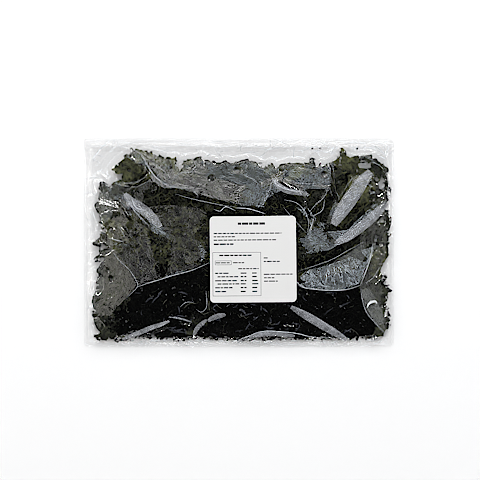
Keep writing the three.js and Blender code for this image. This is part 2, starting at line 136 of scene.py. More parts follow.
banded_softbox("softbox_top_near_left", (-1.5, 0.36), (0.1, 0.75), 1.2, 9, 0)
banded_softbox("softbox_top_near_right", (0.1, 0.34), (1.5, 0.75), 4.6, 8, 0, COOL)
banded_softbox("softbox_top_middle", (-1.5, 0.75), (1.5, 1.2), 3.0, 3, 1, COOL)
banded_softbox("softbox_top_far", (-1.5, 1.2), (1.5, 2.4), 4.6, 7, 1)
banded_softbox("softbox_left_near", (-1.1, 0.0), (-0.45, 0.3), 1.5, 5, 0)
softbox("softbox_left_far", (-2.2, -0.45), (-1.1, 0.3), 2.4, WARM)
side_softbox("fill_right", (2.4, -0.3, 2.2), (2.0, 1.6), 1.1)
side_softbox("fill_front", (0.2, -2.6, 1.0), (2.6, 1.4), 0.6)
side_softbox("fill_left", (-2.7, 0.6, 2.3), (2.0, 1.4), 2.4)
side_softbox("fill_back", (0.2, 3.1, 2.5), (3.0, 1.2), 3.0)
side_softbox("glint_lamp", (0.7, 1.9, 1.6), (0.25, 0.25), 40)
side_softbox("tube_left", (-1.9, 0.1, 1.5), (0.05, 1.8), 30)
side_softbox("tube_right", (2.2, 0.2, 1.7), (0.05, 1.6), 40)
side_softbox("tube_front", (0.2, -2.2, 1.6), (1.8, 0.05), 40)

TABLE_SIDE = 7.0
TABLE_DROP = 0.2 * MM
TABLE_WHITE = (0.80, 0.785, 0.775, 1)
BACKDROP = (0.93, 0.93, 0.93, 1)
DARK_ROOM = (0.02, 0.02, 0.022, 1)


def new_material(name, values):
    """A material with a single shader, some of whose inputs are set, and that shader."""
    material = bpy.data.materials.new(name)
    material.use_nodes = True
    shader = material.node_tree.nodes["Principled BSDF"]
    for socket, value in values.items():
        shader.inputs[socket].default_value = value
    return material, shader


def add_node(tree, kind, values=None, **settings):
    """A new node with its settings, and with some of its inputs set."""
    node = tree.nodes.new(kind)
    for setting, value in settings.items():
        setattr(node, setting, value)
    for socket, value in (values or {}).items():
        node.inputs[socket].default_value = value
    return node


def link(tree, pairs):
    """Links each output to the input beside it."""
    for output, socket in pairs:
        tree.links.new(output, socket)


table_paint, _ = new_material("matt_white_table", {
    "Base Color": TABLE_WHITE,
    "Roughness": 0.9,
    "Specular IOR Level": 0.1,
})
bpy.ops.mesh.primitive_plane_add(size=TABLE_SIDE, location=(0, 0, -TABLE_DROP))
table = bpy.context.object
table.name = "table"
table.data.materials.append(table_paint)
table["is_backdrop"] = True

world = bpy.data.worlds.new("studio")
scene.world = world
world.use_nodes = True
room = world.node_tree
unlit = room.nodes["Background"]
unlit.inputs["Color"].default_value = DARK_ROOM
backdrop = add_node(room, "ShaderNodeBackground", {"Color": BACKDROP})
ray = add_node(room, "ShaderNodeLightPath")
choose = add_node(room, "ShaderNodeMixShader")
link(room, [
    (ray.outputs["Is Camera Ray"], choose.inputs["Fac"]),
    (unlit.outputs["Background"], choose.inputs[1]),
    (backdrop.outputs["Background"], choose.inputs[2]),
    (choose.outputs["Shader"], room.nodes["World Output"].inputs["Surface"]),
])

# The films. Each is a sheet of clear polypropylene, glossy on both faces. They are welded together
# round the edge, with a wide ribbed weld at the top. Both are found as heights over a fine flat
# grid, read from the solids in the frame, and everything inside is later kept between them.
FILM = 0.08 * MM
GRID = 1.0 * MM
HALF_LENGTH = 150 * MM
HALF_WIDTH = 101 * MM
grid_x = np.arange(-150, 151) * GRID
grid_y = np.arange(-101, 102) * GRID


def draped(corners, triangles, xs, ys):
    """Heights of flat triangles over a grid, with not-a-number where none covers it."""
    heights = np.full((len(ys), len(xs)), np.nan)
    for a, b, c in corners[triangles]:
        low = np.minimum(np.minimum(a, b), c)
        high = np.maximum(np.maximum(a, b), c)
        i0, i1 = np.searchsorted(xs, (low[0] - 1e-7, high[0] + 1e-7))
        j0, j1 = np.searchsorted(ys, (low[1] - 1e-7, high[1] + 1e-7))
        area = (b[0] - a[0]) * (c[1] - a[1]) - (c[0] - a[0]) * (b[1] - a[1])
        if i0 == i1 or j0 == j1 or abs(area) < 1e-12:
            continue
        x, y = np.meshgrid(xs[i0:i1], ys[j0:j1])
        v = ((x - a[0]) * (c[1] - a[1]) - (c[0] - a[0]) * (y - a[1])) / area
        w = ((b[0] - a[0]) * (y - a[1]) - (x - a[0]) * (b[1] - a[1])) / area
        inside = (v > -1e-5) & (w > -1e-5) & (v + w < 1.00001)
        z = a[2] + v * (b[2] - a[2]) + w * (c[2] - a[2])
        patch = heights[j0:j1, i0:i1]
        patch[inside] = z[inside]
    return heights


def face_of(node, side):
    """Corners and triangles of the upper (1) or lower (-1) face of a thin solid in the frame."""
    mesh = frame["nodes"][node].data
    mesh.calc_loop_triangles()
    corners = np.zeros(len(mesh.vertices) * 3)
    mesh.vertices.foreach_get("co", corners)
    corners = corners.reshape(-1, 3)
    triangles = np.zeros(len(mesh.loop_triangles) * 3, int)
    mesh.loop_triangles.foreach_get("vertices", triangles)
    triangles = triangles.reshape(-1, 3)
    a, b, c = (corners[triangles[:, k]] for k in range(3))
    normal = np.cross(b - a, c - a)
    upright = normal[:, 2] * side > 0.05 * np.linalg.norm(normal, axis=1)
    return corners, triangles[upright]


def spread(heights):
    """Fills the gaps in a grid of heights from their nearest neighbours."""
    filled = heights.copy()
    while np.isnan(filled).any():
        padded = np.pad(filled, 1, constant_values=np.nan)
        sides = [padded[:-2, 1:-1], padded[2:, 1:-1], padded[1:-1, :-2], padded[1:-1, 2:]]
        around = np.stack(sides)
        known = ~np.isnan(around)
        total = np.where(known, around, 0).sum(0) / np.maximum(known.sum(0), 1)
        reached = np.isnan(filled) & known.any(0)
        filled[reached] = total[reached]
    return filled


def soften(heights, times):
    """Evens out a grid of heights over its nearest neighbours."""
    for _ in range(times):
        padded = np.pad(heights, 1, mode="edge")
        heights = (padded[:-2, 1:-1] + padded[2:, 1:-1] + 2 * padded[1:-1, 1:-1]) / 4
        padded = np.pad(heights, 1, mode="edge")
        heights = (padded[1:-1, :-2] + padded[1:-1, 2:] + 2 * padded[1:-1, 1:-1]) / 4
    return heights


def read_off(heights, x, y, xs=grid_x, ys=grid_y):
    """Height at any points, between the points of a grid."""
    u = np.clip((x - xs[0]) / (xs[1] - xs[0]), 0, len(xs) - 1.001)
    v = np.clip((y - ys[0]) / (ys[1] - ys[0]), 0, len(ys) - 1.001)
    i = u.astype(int)
    j = v.astype(int)
    p = u - i
    q = v - j
    low = heights[j, i] * (1 - p) + heights[j, i + 1] * p
    high = heights[j + 1, i] * (1 - p) + heights[j + 1, i + 1] * p
    return low * (1 - q) + high * q


def waves(x, y, size, seed):
    """Smooth random waves from 0 to 1, with hills about size across."""
    cells = np.random.default_rng(seed).random((64, 64))
    u = x / size + 1000.5
    v = y / size + 1000.5
    i = np.floor(u).astype(int)
    j = np.floor(v).astype(int)
    p = u - i
    q = v - j
    p = p * p * (3 - 2 * p)
    q = q * q * (3 - 2 * q)
    low = cells[j % 64, i % 64] * (1 - p) + cells[j % 64, (i + 1) % 64] * p
    high = cells[(j + 1) % 64, i % 64] * (1 - p) + cells[(j + 1) % 64, (i + 1) % 64] * p
    return low * (1 - q) + high * q


def creased(x, y, size, seed):
    """The same, but with sharp crests where the waves cross their middle height."""
    return 1 - np.abs(2 * waves(x, y, size, seed) - 1)


def in_metres(line):
    """The same line of points, given in millimetres."""
    return [(px * MM, py * MM) for px, py in line]


def beside(x, y, a, b):
    """How far along the line from a to b each point is, from 0 to 1, and how far from the line."""
    run_x = b[0] - a[0]
    run_y = b[1] - a[1]
    share = np.clip(((x - a[0]) * run_x + (y - a[1]) * run_y) / (run_x**2 + run_y**2), 0, 1)
    return share, np.hypot(x - a[0] - share * run_x, y - a[1] - share * run_y)


def fold(x, y, line, width, rise):
    """A rounded fold along a line of points, narrowing to nothing at both its ends."""
    away = np.full(x.shape, np.inf)
    along = np.zeros(x.shape)
    walked = 0
    for a, b in zip(line, line[1:]):
        share, off = beside(x, y, a, b)
        along = np.where(off < away, walked + share * math.dist(a, b), along)
        away = np.minimum(away, off)
        walked += math.dist(a, b)
    taper = np.sin(np.pi * np.clip(along / walked, 0.02, 0.98)) ** 0.5
    return rise * taper * np.clip(1 - (away / (width * taper)) ** 2, 0, 1)


def strengthen(near, far, value):
    """From 0 to 1, smoothly, as a value goes from near to far."""
    t = np.clip((value - near) / (far - near), 0, 1)
    return t * t * (3 - 2 * t)


def tighten(heights):
    """Keeps the hard creases over the leaf, but lets the film hang softly near its weld."""
    drift = [DRIFT * slack * (waves(over_x, over_y, DRIFT_SIZE, seed) - 0.5) for seed in (3, 4)]
    hanging = read_off(soften(heights, 24), over_x + drift[0], over_y + drift[1])
    return soften(heights, 1) * (1 - slack) + hanging * slack


DRIFT = 5 * MM
DRIFT_SIZE = 17 * MM
SLACK_TO = 8 * MM
TIGHT_FROM = 17 * MM
over_x, over_y = np.meshgrid(grid_x, grid_y)
from_edge = np.minimum(HALF_LENGTH - np.abs(over_x), HALF_WIDTH - np.abs(over_y))
slack = strengthen(TIGHT_FROM, SLACK_TO, from_edge)
front = tighten(spread(draped(*face_of("film_front", 1), grid_x, grid_y)))
back = tighten(spread(draped(*face_of("film_back", -1), grid_x, grid_y)))

# How far the leaf reaches between the films, and the larger gaps in it, as the middle of each gap
# and half its length and height. All are in millimetres.
LEAF_OUTLINE = [
    (-108, 93), (-99, 92), (-94, 89.5), (-85, 86.5), (-78, 83.5), (-70, 81), (-62, 81), (-61, 76),
    (-58, 69), (-55, 70), (-53, 79), (-46, 80.5), (-41, 80), (-37, 83), (-34, 79), (-27, 79),
    (-21, 75), (-13, 78.5), (-5, 77), (2, 78.5), (8, 80), (14, 78), (20, 75), (26, 73), (31, 76),
    (36, 72), (41, 74), (47, 76.5), (54, 76), (62, 75.5), (68, 76), (70, 82), (72, 82.5), (73, 75),
    (76, 73), (79, 76), (84, 74), (87, 76), (94, 78.5), (97, 83), (100, 90.5), (105, 86),
    (109.5, 80), (113, 83), (120, 85.5), (127, 84), (133, 78), (139, 75), (144.5, 70), (144, 59),
    (147, 52), (145.5, 43), (141, 36), (137, 30), (143, 30), (146.5, 25), (147, 14), (146, 4),
    (144, -2), (143, -7), (146, -11.5), (139, -17), (138.5, -24), (137, -30), (143, -32.5),
    (142, -38), (146, -42), (147, -47), (143, -54), (142, -58), (146, -66), (146.5, -73),
    (146, -82), (141, -85), (137, -91), (131, -94), (118, -92), (108, -95), (92, -93),
    (68, -94.5), (38, -94), (4, -95), (-30, -93), (-60, -94.5), (-95, -92), (-104, -94),
    (-117, -96), (-125, -93), (-136, -94), (-142, -91), (-133, -87), (-140, -78),
    (-139, -73), (-141, -68), (-141, -54), (-138, -46), (-138, -38), (-135, -32), (-137, -26),
    (-133, -21), (-141, -16.5), (-134, -11), (-135, -4), (-141, -2), (-141, 2), (-134, 4),
    (-132, 16), (-133, 22), (-135, 28), (-139, 34), (-136, 41), (-134, 48), (-135.5, 62),
    (-130, 58), (-124, 52), (-121, 58), (-113, 61), (-113, 66), (-122, 70), (-115, 78),
    (-108, 85), (-104, 88),
]
LEAF_GAPS = [
    (122, 75.3, 8.5, 4), (138.5, 57, 3.4, 7), (133, 62, 4, 3.2), (82, 66, 2.2, 2.4),
    (72, 70.5, 2, 1.6), (121.5, 66, 2.6, 2.6), (128.5, 67, 1.6, 1.4), (126, 56, 1.7, 1.5),
    (131, 41.5, 1.6, 1.2), (61, 73, 5, 1.3), (-106, 70, 1.8, 1.6), (-26, 62, 2.4, 1.9),
    (-33.5, 75, 1.5, 3), (-130, 11.5, 2.2, 2.4), (-124, 12.5, 2, 1.8), (-130.5, -4.5, 5, 3),
    (-132, -16.5, 2.2, 3.2), (-127, -26.5, 1.2, 1.6), (-123.5, -35, 1.2, 2.2),
    (-124.5, -51.5, 1.2, 1.2), (-1, 70, 5, 1.8), (138.5, -7.5, 2.4, 2.6), (142, -33.5, 1.6, 1.4),
    (143, -66.5, 2, 2.2), (138.5, 21.5, 3, 3.2), (132, 5, 2.4, 5), (-128, 47, 1.5, 3),
    (106, 73, 2.4, 1.2), (114, 70, 1.6, 2.6), (98, 79, 1.4, 3), (140, -22, 1.8, 3.5),
    (134, -30, 1.4, 3), (128, 50, 2, 1.8), (139, -2, 2, 3), (-27, 63, 2.6, 2), (40, 69, 2, 1.4),
]


def depth_inside(outline, x, y):
    """Distance to a closed outline, positive inside it and negative outside."""
    away = np.full(x.shape, np.inf)
    inside = np.zeros(x.shape, bool)
    for a, b in zip(outline, outline[1:] + outline[:1]):
        away = np.minimum(away, beside(x, y, a, b)[1])
        if a[1] != b[1]:
            crosses = (a[1] > y) != (b[1] > y)
            inside ^= crosses & (x < a[0] + (y - a[1]) / (b[1] - a[1]) * (b[0] - a[0]))
    return np.where(inside, away, -away)


leaf_depth = depth_inside(in_metres(LEAF_OUTLINE), over_x, over_y)
for gap_x, gap_y, gap_width, gap_height in LEAF_GAPS:
    u = (over_x / MM - gap_x) / gap_width
    v = (over_y / MM - gap_y) / gap_height
    leaf_depth = np.minimum(leaf_depth, (np.hypot(u, v) - 1) * min(gap_width, gap_height) * MM)

# The weld. The films are melted together in a narrow band of uneven width along the edge. Between
# it and the leaf they nearly touch.
WELD = 3.5 * MM
WELD_FADE = 4 * MM
WELD_WANDER = 2.4 * MM
WELD_GAP = 0.1 * MM
EMPTY_GAP = 1.25 * MM
wandering = from_edge + WELD_WANDER * (waves(over_x, over_y, 13 * MM, 5) - 0.5)
welded_there = strengthen(WELD + WELD_FADE, WELD, wandering)
filled = strengthen(-7 * MM, 1 * MM, leaf_depth)
seam = (front + back) / 2
half_gap = (front - back) / 2
half_gap = half_gap * filled + np.minimum(half_gap, EMPTY_GAP) * (1 - filled)
half_gap = half_gap * (1 - welded_there) + WELD_GAP * welded_there
front = seam + half_gap
back = seam - half_gap

# Level patches, where the front film lies flat on top of the leaf, so that it mirrors the dark and
# the leaf shows clearly. The film leans away steeply round each.
LEVEL_PATCHES = [
    [(61, 52), (75, 56), (90, 55), (95, 44), (85, 19), (77, 16), (64, 30)],
    [
        (88, 80), (100, 92), (124, 86), (143, 74), (145, 50),
        (136, 60), (124, 63), (111, 60), (96, 36), (90, 48),
    ],
    [(-125, 76), (-108, 88), (-90, 74), (-84, 62), (-100, 54), (-120, 56)],
]
LIP = 3 * MM
HIGHEST = 23.2 * MM
for patch in LEVEL_PATCHES:
    depth = depth_inside(in_metres(patch), over_x, over_y)
    level = front[depth > 0].mean()
    share = strengthen(0, LIP, depth)
    front = np.minimum(front * (1 - share) + level * share, HIGHEST)

# Folds of loose film, where it stands up from the leaf in a rounded ridge: a line, half the ridge's
# width and its height, all in millimetres.
FOLDS = [
    ([(-64, -73), (-54, -76), (-43, -78)], 1.6, 0.6),
    ([(-3, -92), (10, -87), (24, -85), (48, -88), (88, -92)], 1.5, 0.6),
    ([(72, -84), (82, -86), (96, -94)], 1.5, 0.6),
    ([(40, -78), (55, -79)], 1.6, 0.5),
    ([(-137, 73), (-122, 89), (-110, 101)], 1.5, 0.7),
    ([(-141, 70), (-128, 84), (-119, 92)], 1.2, 0.4),
    ([(-96, 86), (-82, 69), (-69, 54)], 1.4, 0.6),
    ([(124, 79), (133, 88), (141, 97)], 1.3, 0.5),
    ([(-98, -42), (-80, -36.5), (-62, -31), (-36, -22)], 1.4, 0.45),
    ([(-69, 54), (-57, 50), (-45, 48), (-20, 41), (2, 35.5), (24, 33)], 1.3, 0.45),
    ([(57, -37), (60, -41), (72, -45), (93, -47), (116, -40.5)], 1.5, 0.6),
    ([(56, -16), (66, -12), (78, -7.5), (90, -7)], 1.3, 0.4),
    ([(116, -40), (123, -24), (128, -12), (131, -2)], 1.5, 0.5),
    ([(117, -44), (121, -62), (131, -78), (141, -88)], 1.5, 0.6),
    ([(125, -62), (129, -58), (132, -57)], 2.2, 1.1),
    ([(33, 62), (38, 56), (50, 50), (64, 46)], 2.4, 1.0),
    ([(38, 59), (48, 51), (58, 48)], 1.5, 0.6),
    ([(52, 34), (60, 30), (66, 22), (68, 11)], 1.4, 0.5),
    ([(67, 26), (72, 22), (68, 11)], 1.4, 0.6),
    ([(69, 27), (79, 40), (87, 53)], 1.4, 0.6),
    ([(73, 22), (82, 33), (84, 44)], 1.3, 0.5),
    ([(-2, 33), (8, 31.5), (18, 32), (27, 28)], 1.2, 0.5),
    ([(-103, 39), (-98, 36), (-88, 25), (-78, 15)], 1.8, 0.7),
    ([(-101, 42), (-95, 30), (-84, 17), (-76, 11)], 1.5, 0.6),
    ([(-116, 44), (-109, 36), (-103, 26)], 1.5, 0.6),
    ([(-112, 17), (-109, 10), (-104, 3)], 1.4, 0.5),
    ([(-36, 36), (-26, 32), (-18, 28)], 1.3, 0.5),
    ([(-122, -2), (-108, -4), (-96, -2)], 1.4, 0.4),
]
# Pleats: a crest, and how wide in millimetres and how steep in degrees the flat face is that leans
# away from it to the left of the line.
DROP = 1.6 * MM
PLEATS = [
    ([(-114, -97), (-92, -89), (-67, -79)], 4.6, 14),
    ([(106, -98), (84, -86), (66, -76), (51, -66)], 5.0, 15),
    ([(-8, -97), (10, -91), (30, -90), (54, -92)], 3.6, 12),
    ([(34, 57), (46, 50), (66, 44)], 6.5, 19),
    ([(-107, 37), (-96, 22), (-80, 8)], 9.0, 12),
    ([(-117, 42), (-110, 32), (-104, 22)], 4.0, 13),
    ([(-87, 63), (-74, 52), (-64, 51)], 5.0, 17),
]
SMALL_FOLDS = 90


def bowed_line(draw, x, y, shortest, longest):
    """A short line through a place, at any angle and slightly bowed, as three points."""
    turn = draw.uniform(0, math.pi)
    half = draw.uniform(shortest, longest)
    dx = half * math.cos(turn)
    dy = half * math.sin(turn) * 0.6
    bow = draw.uniform(-2, 2) / half
    return [(x - dx, y - dy), (x + bow * dy, y - bow * dx), (x + dx, y + dy)]


def random_folds(count, seed):
    """Short shallow folds that run in from the weld at all angles."""
    draw = np.random.default_rng(seed)
    folds = []
    for _ in range(count):
        inset = draw.uniform(3, 16)
        along = draw.uniform(-1, 1)
        if draw.random() < 0.6:
            x = 140 * along
            y = draw.choice([-1, 1]) * (101 - inset)
        else:
            x = draw.choice([-1, 1]) * (150 - inset)
            y = 92 * along
        line = bowed_line(draw, x, y, 4, 13)
        folds.append((line, draw.uniform(0.9, 1.7), draw.uniform(0.1, 0.4)))
    return folds


def pleat(x, y, heights, line, width, lean):
    """Heights with a flat face raised along a line, which drops back steeply behind the line."""
    raised = heights.copy()
    lengths = [math.dist(line[k], line[k + 1]) for k in range(len(line) - 1)]
    walked = 0
    for (ax, ay), (bx, by), length in zip(line, line[1:], lengths):
        along_x = (bx - ax) / length
        along_y = (by - ay) / length
        s = np.clip((x - ax) * along_x + (y - ay) * along_y, 0, length)
        out_x = x - ax - s * along_x
        out_y = y - ay - s * along_y
        side = np.where(along_x * out_y - along_y * out_x >= 0, 1, -1)
        away = np.hypot(out_x, out_y)
        taper = np.sin(np.pi * np.clip((walked + s) / sum(lengths), 0.02, 0.98)) ** 0.4
        wide = width * taper
        foot_x = ax + s * along_x - along_y * wide
        foot_y = ay + s * along_y + along_x * wide
        top = read_off(heights, foot_x, foot_y) + math.tan(lean) * wide
        face = np.where(away < wide, top - math.tan(lean) * away, heights)
        drop = top - (top - heights) * np.clip(away / DROP, 0, 1)
        raised = np.maximum(raised, np.where(side > 0, face, np.where(away < DROP, drop, heights)))
        walked += length
    return raised


for line, width, lean in PLEATS:
    front = pleat(over_x, over_y, front, in_metres(line), width * MM, math.radians(lean))
for line, width, rise in FOLDS + random_folds(SMALL_FOLDS, 17):
    ridge = fold(over_x, over_y, in_metres(line), width * MM, rise * MM)
    front += ridge * (1 - 0.7 * welded_there)
for line, width, rise in random_folds(SMALL_FOLDS, 18):
    back -= fold(over_x, over_y, in_metres(line), width * MM, rise * MM) * (1 - welded_there)
back = np.maximum(back, 0)


def wrinkle(x, y, seed):
    """Fine wrinkles that a film has besides its folds, deepest where nothing lies under it."""
    edge = np.minimum(HALF_LENGTH - np.abs(x), HALF_WIDTH - np.abs(y))
    depth = 0.16 + 0.84 * strengthen(26 * MM, 8 * MM, edge)
    coarse = creased(x + 0.4 * y, 1.8 * y, 15 * MM, seed)
    fine = creased(x + 0.6 * y, 1.5 * y, 5 * MM, seed + 1)
    return (0.28 * depth * coarse + 0.05 * fine) * MM


# The side along x, the side along y and the radius of each corner.
CORNER_RADII = [(-1, 1, 2.5 * MM), (1, 1, 6 * MM), (1, -1, 4 * MM), (-1, -1, 4 * MM)]


def pouch_grid(step):
    """Points of an even grid over the pouch, with its corners drawn in to their radii."""
    nx = round(2 * HALF_LENGTH / step)
    ny = round(2 * HALF_WIDTH / step)
    across = np.linspace(-HALF_LENGTH, HALF_LENGTH, nx + 1)
    upwards = np.linspace(-HALF_WIDTH, HALF_WIDTH, ny + 1)
    x, y = np.meshgrid(across, upwards)
    for sx, sy, radius in CORNER_RADII:
        dx = sx * x - (HALF_LENGTH - radius)
        dy = sy * y - (HALF_WIDTH - radius)
        near = (dx > 0) & (dy > 0)
        pull = np.maximum(dx, dy) / np.maximum(np.hypot(dx, dy), 1e-9)
        x = np.where(near, sx * (HALF_LENGTH - radius + dx * pull), x)
        y = np.where(near, sy * (HALF_WIDTH - radius + dy * pull), y)
    return x, y


def mesh_piece(name, points, faces, materials, smooth=True):
    """A piece from arrays of points and faces, on the object's one body."""
    mesh = bpy.data.meshes.new(name)
    sides = faces.shape[1]
    mesh.vertices.add(len(points))
    mesh.vertices.foreach_set("co", points.astype(np.float32).ravel())
    mesh.loops.add(faces.size)
    mesh.loops.foreach_set("vertex_index", faces.astype(np.int32).ravel())
    mesh.polygons.add(len(faces))
    mesh.polygons.foreach_set("loop_start", np.arange(0, faces.size, sides, dtype=np.int32))
    mesh.polygons.foreach_set("use_smooth", np.full(len(faces), smooth))
    mesh.update(calc_edges=True)
    mesh.validate()
    for material in materials:
        mesh.materials.append(material)
    piece = bpy.data.objects.new(name, mesh)
    scene.collection.objects.link(piece)
    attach(piece, "root")
    return piece


def points_of(x, y, z):
    """Points in a list, from arrays of their places across, along and up."""
    return np.stack([x.ravel(), y.ravel(), z.ravel()], 1)


def rim_edges(faces, count):
    """The edges that only one face has, for faces on count points."""
    sides = faces.shape[1]
    edges = np.concatenate([faces[:, [k, (k + 1) % sides]] for k in range(sides)])
    ends = np.sort(edges, 1)
    key = ends[:, 0] * count + ends[:, 1]
    _, first, uses = np.unique(key, return_index=True, return_counts=True)
    return edges[first[uses == 1]]


def closed_sheet(x, y, top, bottom, quads):
    """Points and faces of a sheet with an upper and a lower face and a rim round every edge."""
    n = x.size
    rim = rim_edges(quads, n)
    walls = np.stack([rim[:, 1], rim[:, 0], rim[:, 0] + n, rim[:, 1] + n], 1)
    faces = np.concatenate([quads, quads[:, ::-1] + n, walls])
    used, compact = np.unique(faces, return_inverse=True)
    points = np.concatenate([points_of(x, y, top), points_of(x, y, bottom)])
    return points[used], compact.reshape(faces.shape)


def all_quads(shape):
    """The four-sided cells of a grid of points, counter-clockwise."""
    index = np.arange(shape[0] * shape[1]).reshape(shape)
    quads = np.stack([index[:-1, :-1], index[:-1, 1:], index[1:, 1:], index[1:, :-1]], -1)
    return quads.reshape(-1, 4)


def new_group(name, inputs, outputs):
    """A group of nodes, with the nodes that bring its inputs in and take its outputs out."""
    group = bpy.data.node_groups.new(name, "ShaderNodeTree")
    for side, sockets in (("INPUT", inputs), ("OUTPUT", outputs)):
        for label, kind in sockets:
            group.interface.new_socket(label, in_out=side, socket_type="NodeSocket" + kind)
    return group, add_node(group, "NodeGroupInput"), add_node(group, "NodeGroupOutput")


def film_surface():
    """The scuffs and dimples of handled film, as one group of nodes that the films and the painted
    crease strips use.
    """
    sizes = [("Scuff Scale", "Float"), ("Dimple Scale", "Float")]
    group, given, made = new_group("handled_film", sizes, [("Scuffs", "Float"), ("Height", "Float")])
    place = add_node(group, "ShaderNodeTexCoord")
    scuffs = add_node(group, "ShaderNodeTexNoise", {"Detail": 4, "Roughness": 0.6, "Distortion": 2.5})
    dulled = add_node(group, "ShaderNodeMapRange", {
        "From Min": 0.35,
        "From Max": 0.65,
        "To Min": 0.55,
        "To Max": 1.5,
    })
    dimples = add_node(group, "ShaderNodeTexNoise", {"Detail": 2, "Distortion": 1.5})
    link(group, [
        (place.outputs["Object"], scuffs.inputs["Vector"]),
        (place.outputs["Object"], dimples.inputs["Vector"]),
        (given.outputs["Scuff Scale"], scuffs.inputs["Scale"]),
        (given.outputs["Dimple Scale"], dimples.inputs["Scale"]),
        (scuffs.outputs["Fac"], dulled.inputs["Value"]),
        (dulled.outputs["Result"], made.inputs["Scuffs"]),
        (dimples.outputs["Fac"], made.inputs["Height"]),
    ])
    return group


handled_film = film_surface()
SCUFF_SCALE = 140
DIMPLE_SCALE = 160
DIMPLE_DEPTH = 0.4 * MM
FILM_ROUGHNESS = 0.06


def film_material(name, tint, reflect):
    """Clear glossy film: a mirror that shows only as far as film reflects, and is see-through."""
    material, shader = new_material(name, {
        "Base Color": (tint, tint, tint, 1),
        "Metallic": 1,
        "Roughness": FILM_ROUGHNESS,
    })
    tree = material.node_tree
    facing = add_node(tree, "ShaderNodeLayerWeight", {"Blend": 0.5})
    power = add_node(tree, "ShaderNodeMath", {1: 5}, operation="POWER")
    scale = add_node(tree, "ShaderNodeMath", {1: 1 - reflect, 2: reflect}, operation="MULTIPLY_ADD")
    scales = {"Scuff Scale": SCUFF_SCALE, "Dimple Scale": DIMPLE_SCALE}
    surface = add_node(tree, "ShaderNodeGroup", scales, node_tree=handled_film)
    sheen = add_node(tree, "ShaderNodeMath", operation="MULTIPLY", use_clamp=True)
    dimples = add_node(tree, "ShaderNodeBump", {"Strength": 0.055, "Distance": DIMPLE_DEPTH})
    link(tree, [
        (facing.outputs["Facing"], power.inputs[0]),
        (power.outputs[0], scale.inputs[0]),
        (scale.outputs[0], sheen.inputs[0]),
        (surface.outputs["Scuffs"], sheen.inputs[1]),
        (surface.outputs["Height"], dimples.inputs["Height"]),
        (sheen.outputs[0], shader.inputs["Alpha"]),
        (dimples.outputs["Normal"], shader.inputs["Normal"]),
    ])
    return material


clear_film = film_material("clear_polypropylene_film", 0.8, 0.02)
welded_film = film_material("heat_sealed_film", 0.4, 0.042)
TOP_WELD = 88 * MM


def weld_ripple(x, y, in_weld):
    """Ripples of the weld, where both films rise and fall as one."""
    return 0.5 * wrinkle(x, y, 51) * in_weld


def front_top(x, y):
    """Height of the front film's upper face."""
    in_weld = read_off(welded_there, x, y)
    loose = wrinkle(x, y, 11) * (1 - in_weld)
    return read_off(front, x, y) + loose + weld_ripple(x, y, in_weld)


FRONT_STEP = 1.3 * MM
x, y = pouch_grid(FRONT_STEP)
height = front_top(x, y)
points, faces = closed_sheet(x, y, height, height - FILM, all_quads(x.shape))
front_film = mesh_piece("front_film", points, faces, [clear_film, welded_film])
for face in front_film.data.polygons:
    face.material_index = int(face.center.y > TOP_WELD)
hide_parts("film_front")

BACK_STEP = 2.8 * MM
x, y = pouch_grid(BACK_STEP)
in_weld = read_off(welded_there, x, y)
hung = strengthen(0.2 * MM, 2 * MM, read_off(back, x, y))
loose = hung * wrinkle(x, y, 31) * (1 - in_weld)
height = read_off(back, x, y) - loose + weld_ripple(x, y, in_weld)
points, faces = closed_sheet(x, y, height + FILM, height, all_quads(x.shape))
back_film = mesh_piece("back_film", points, faces, [clear_film])
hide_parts("film_back")
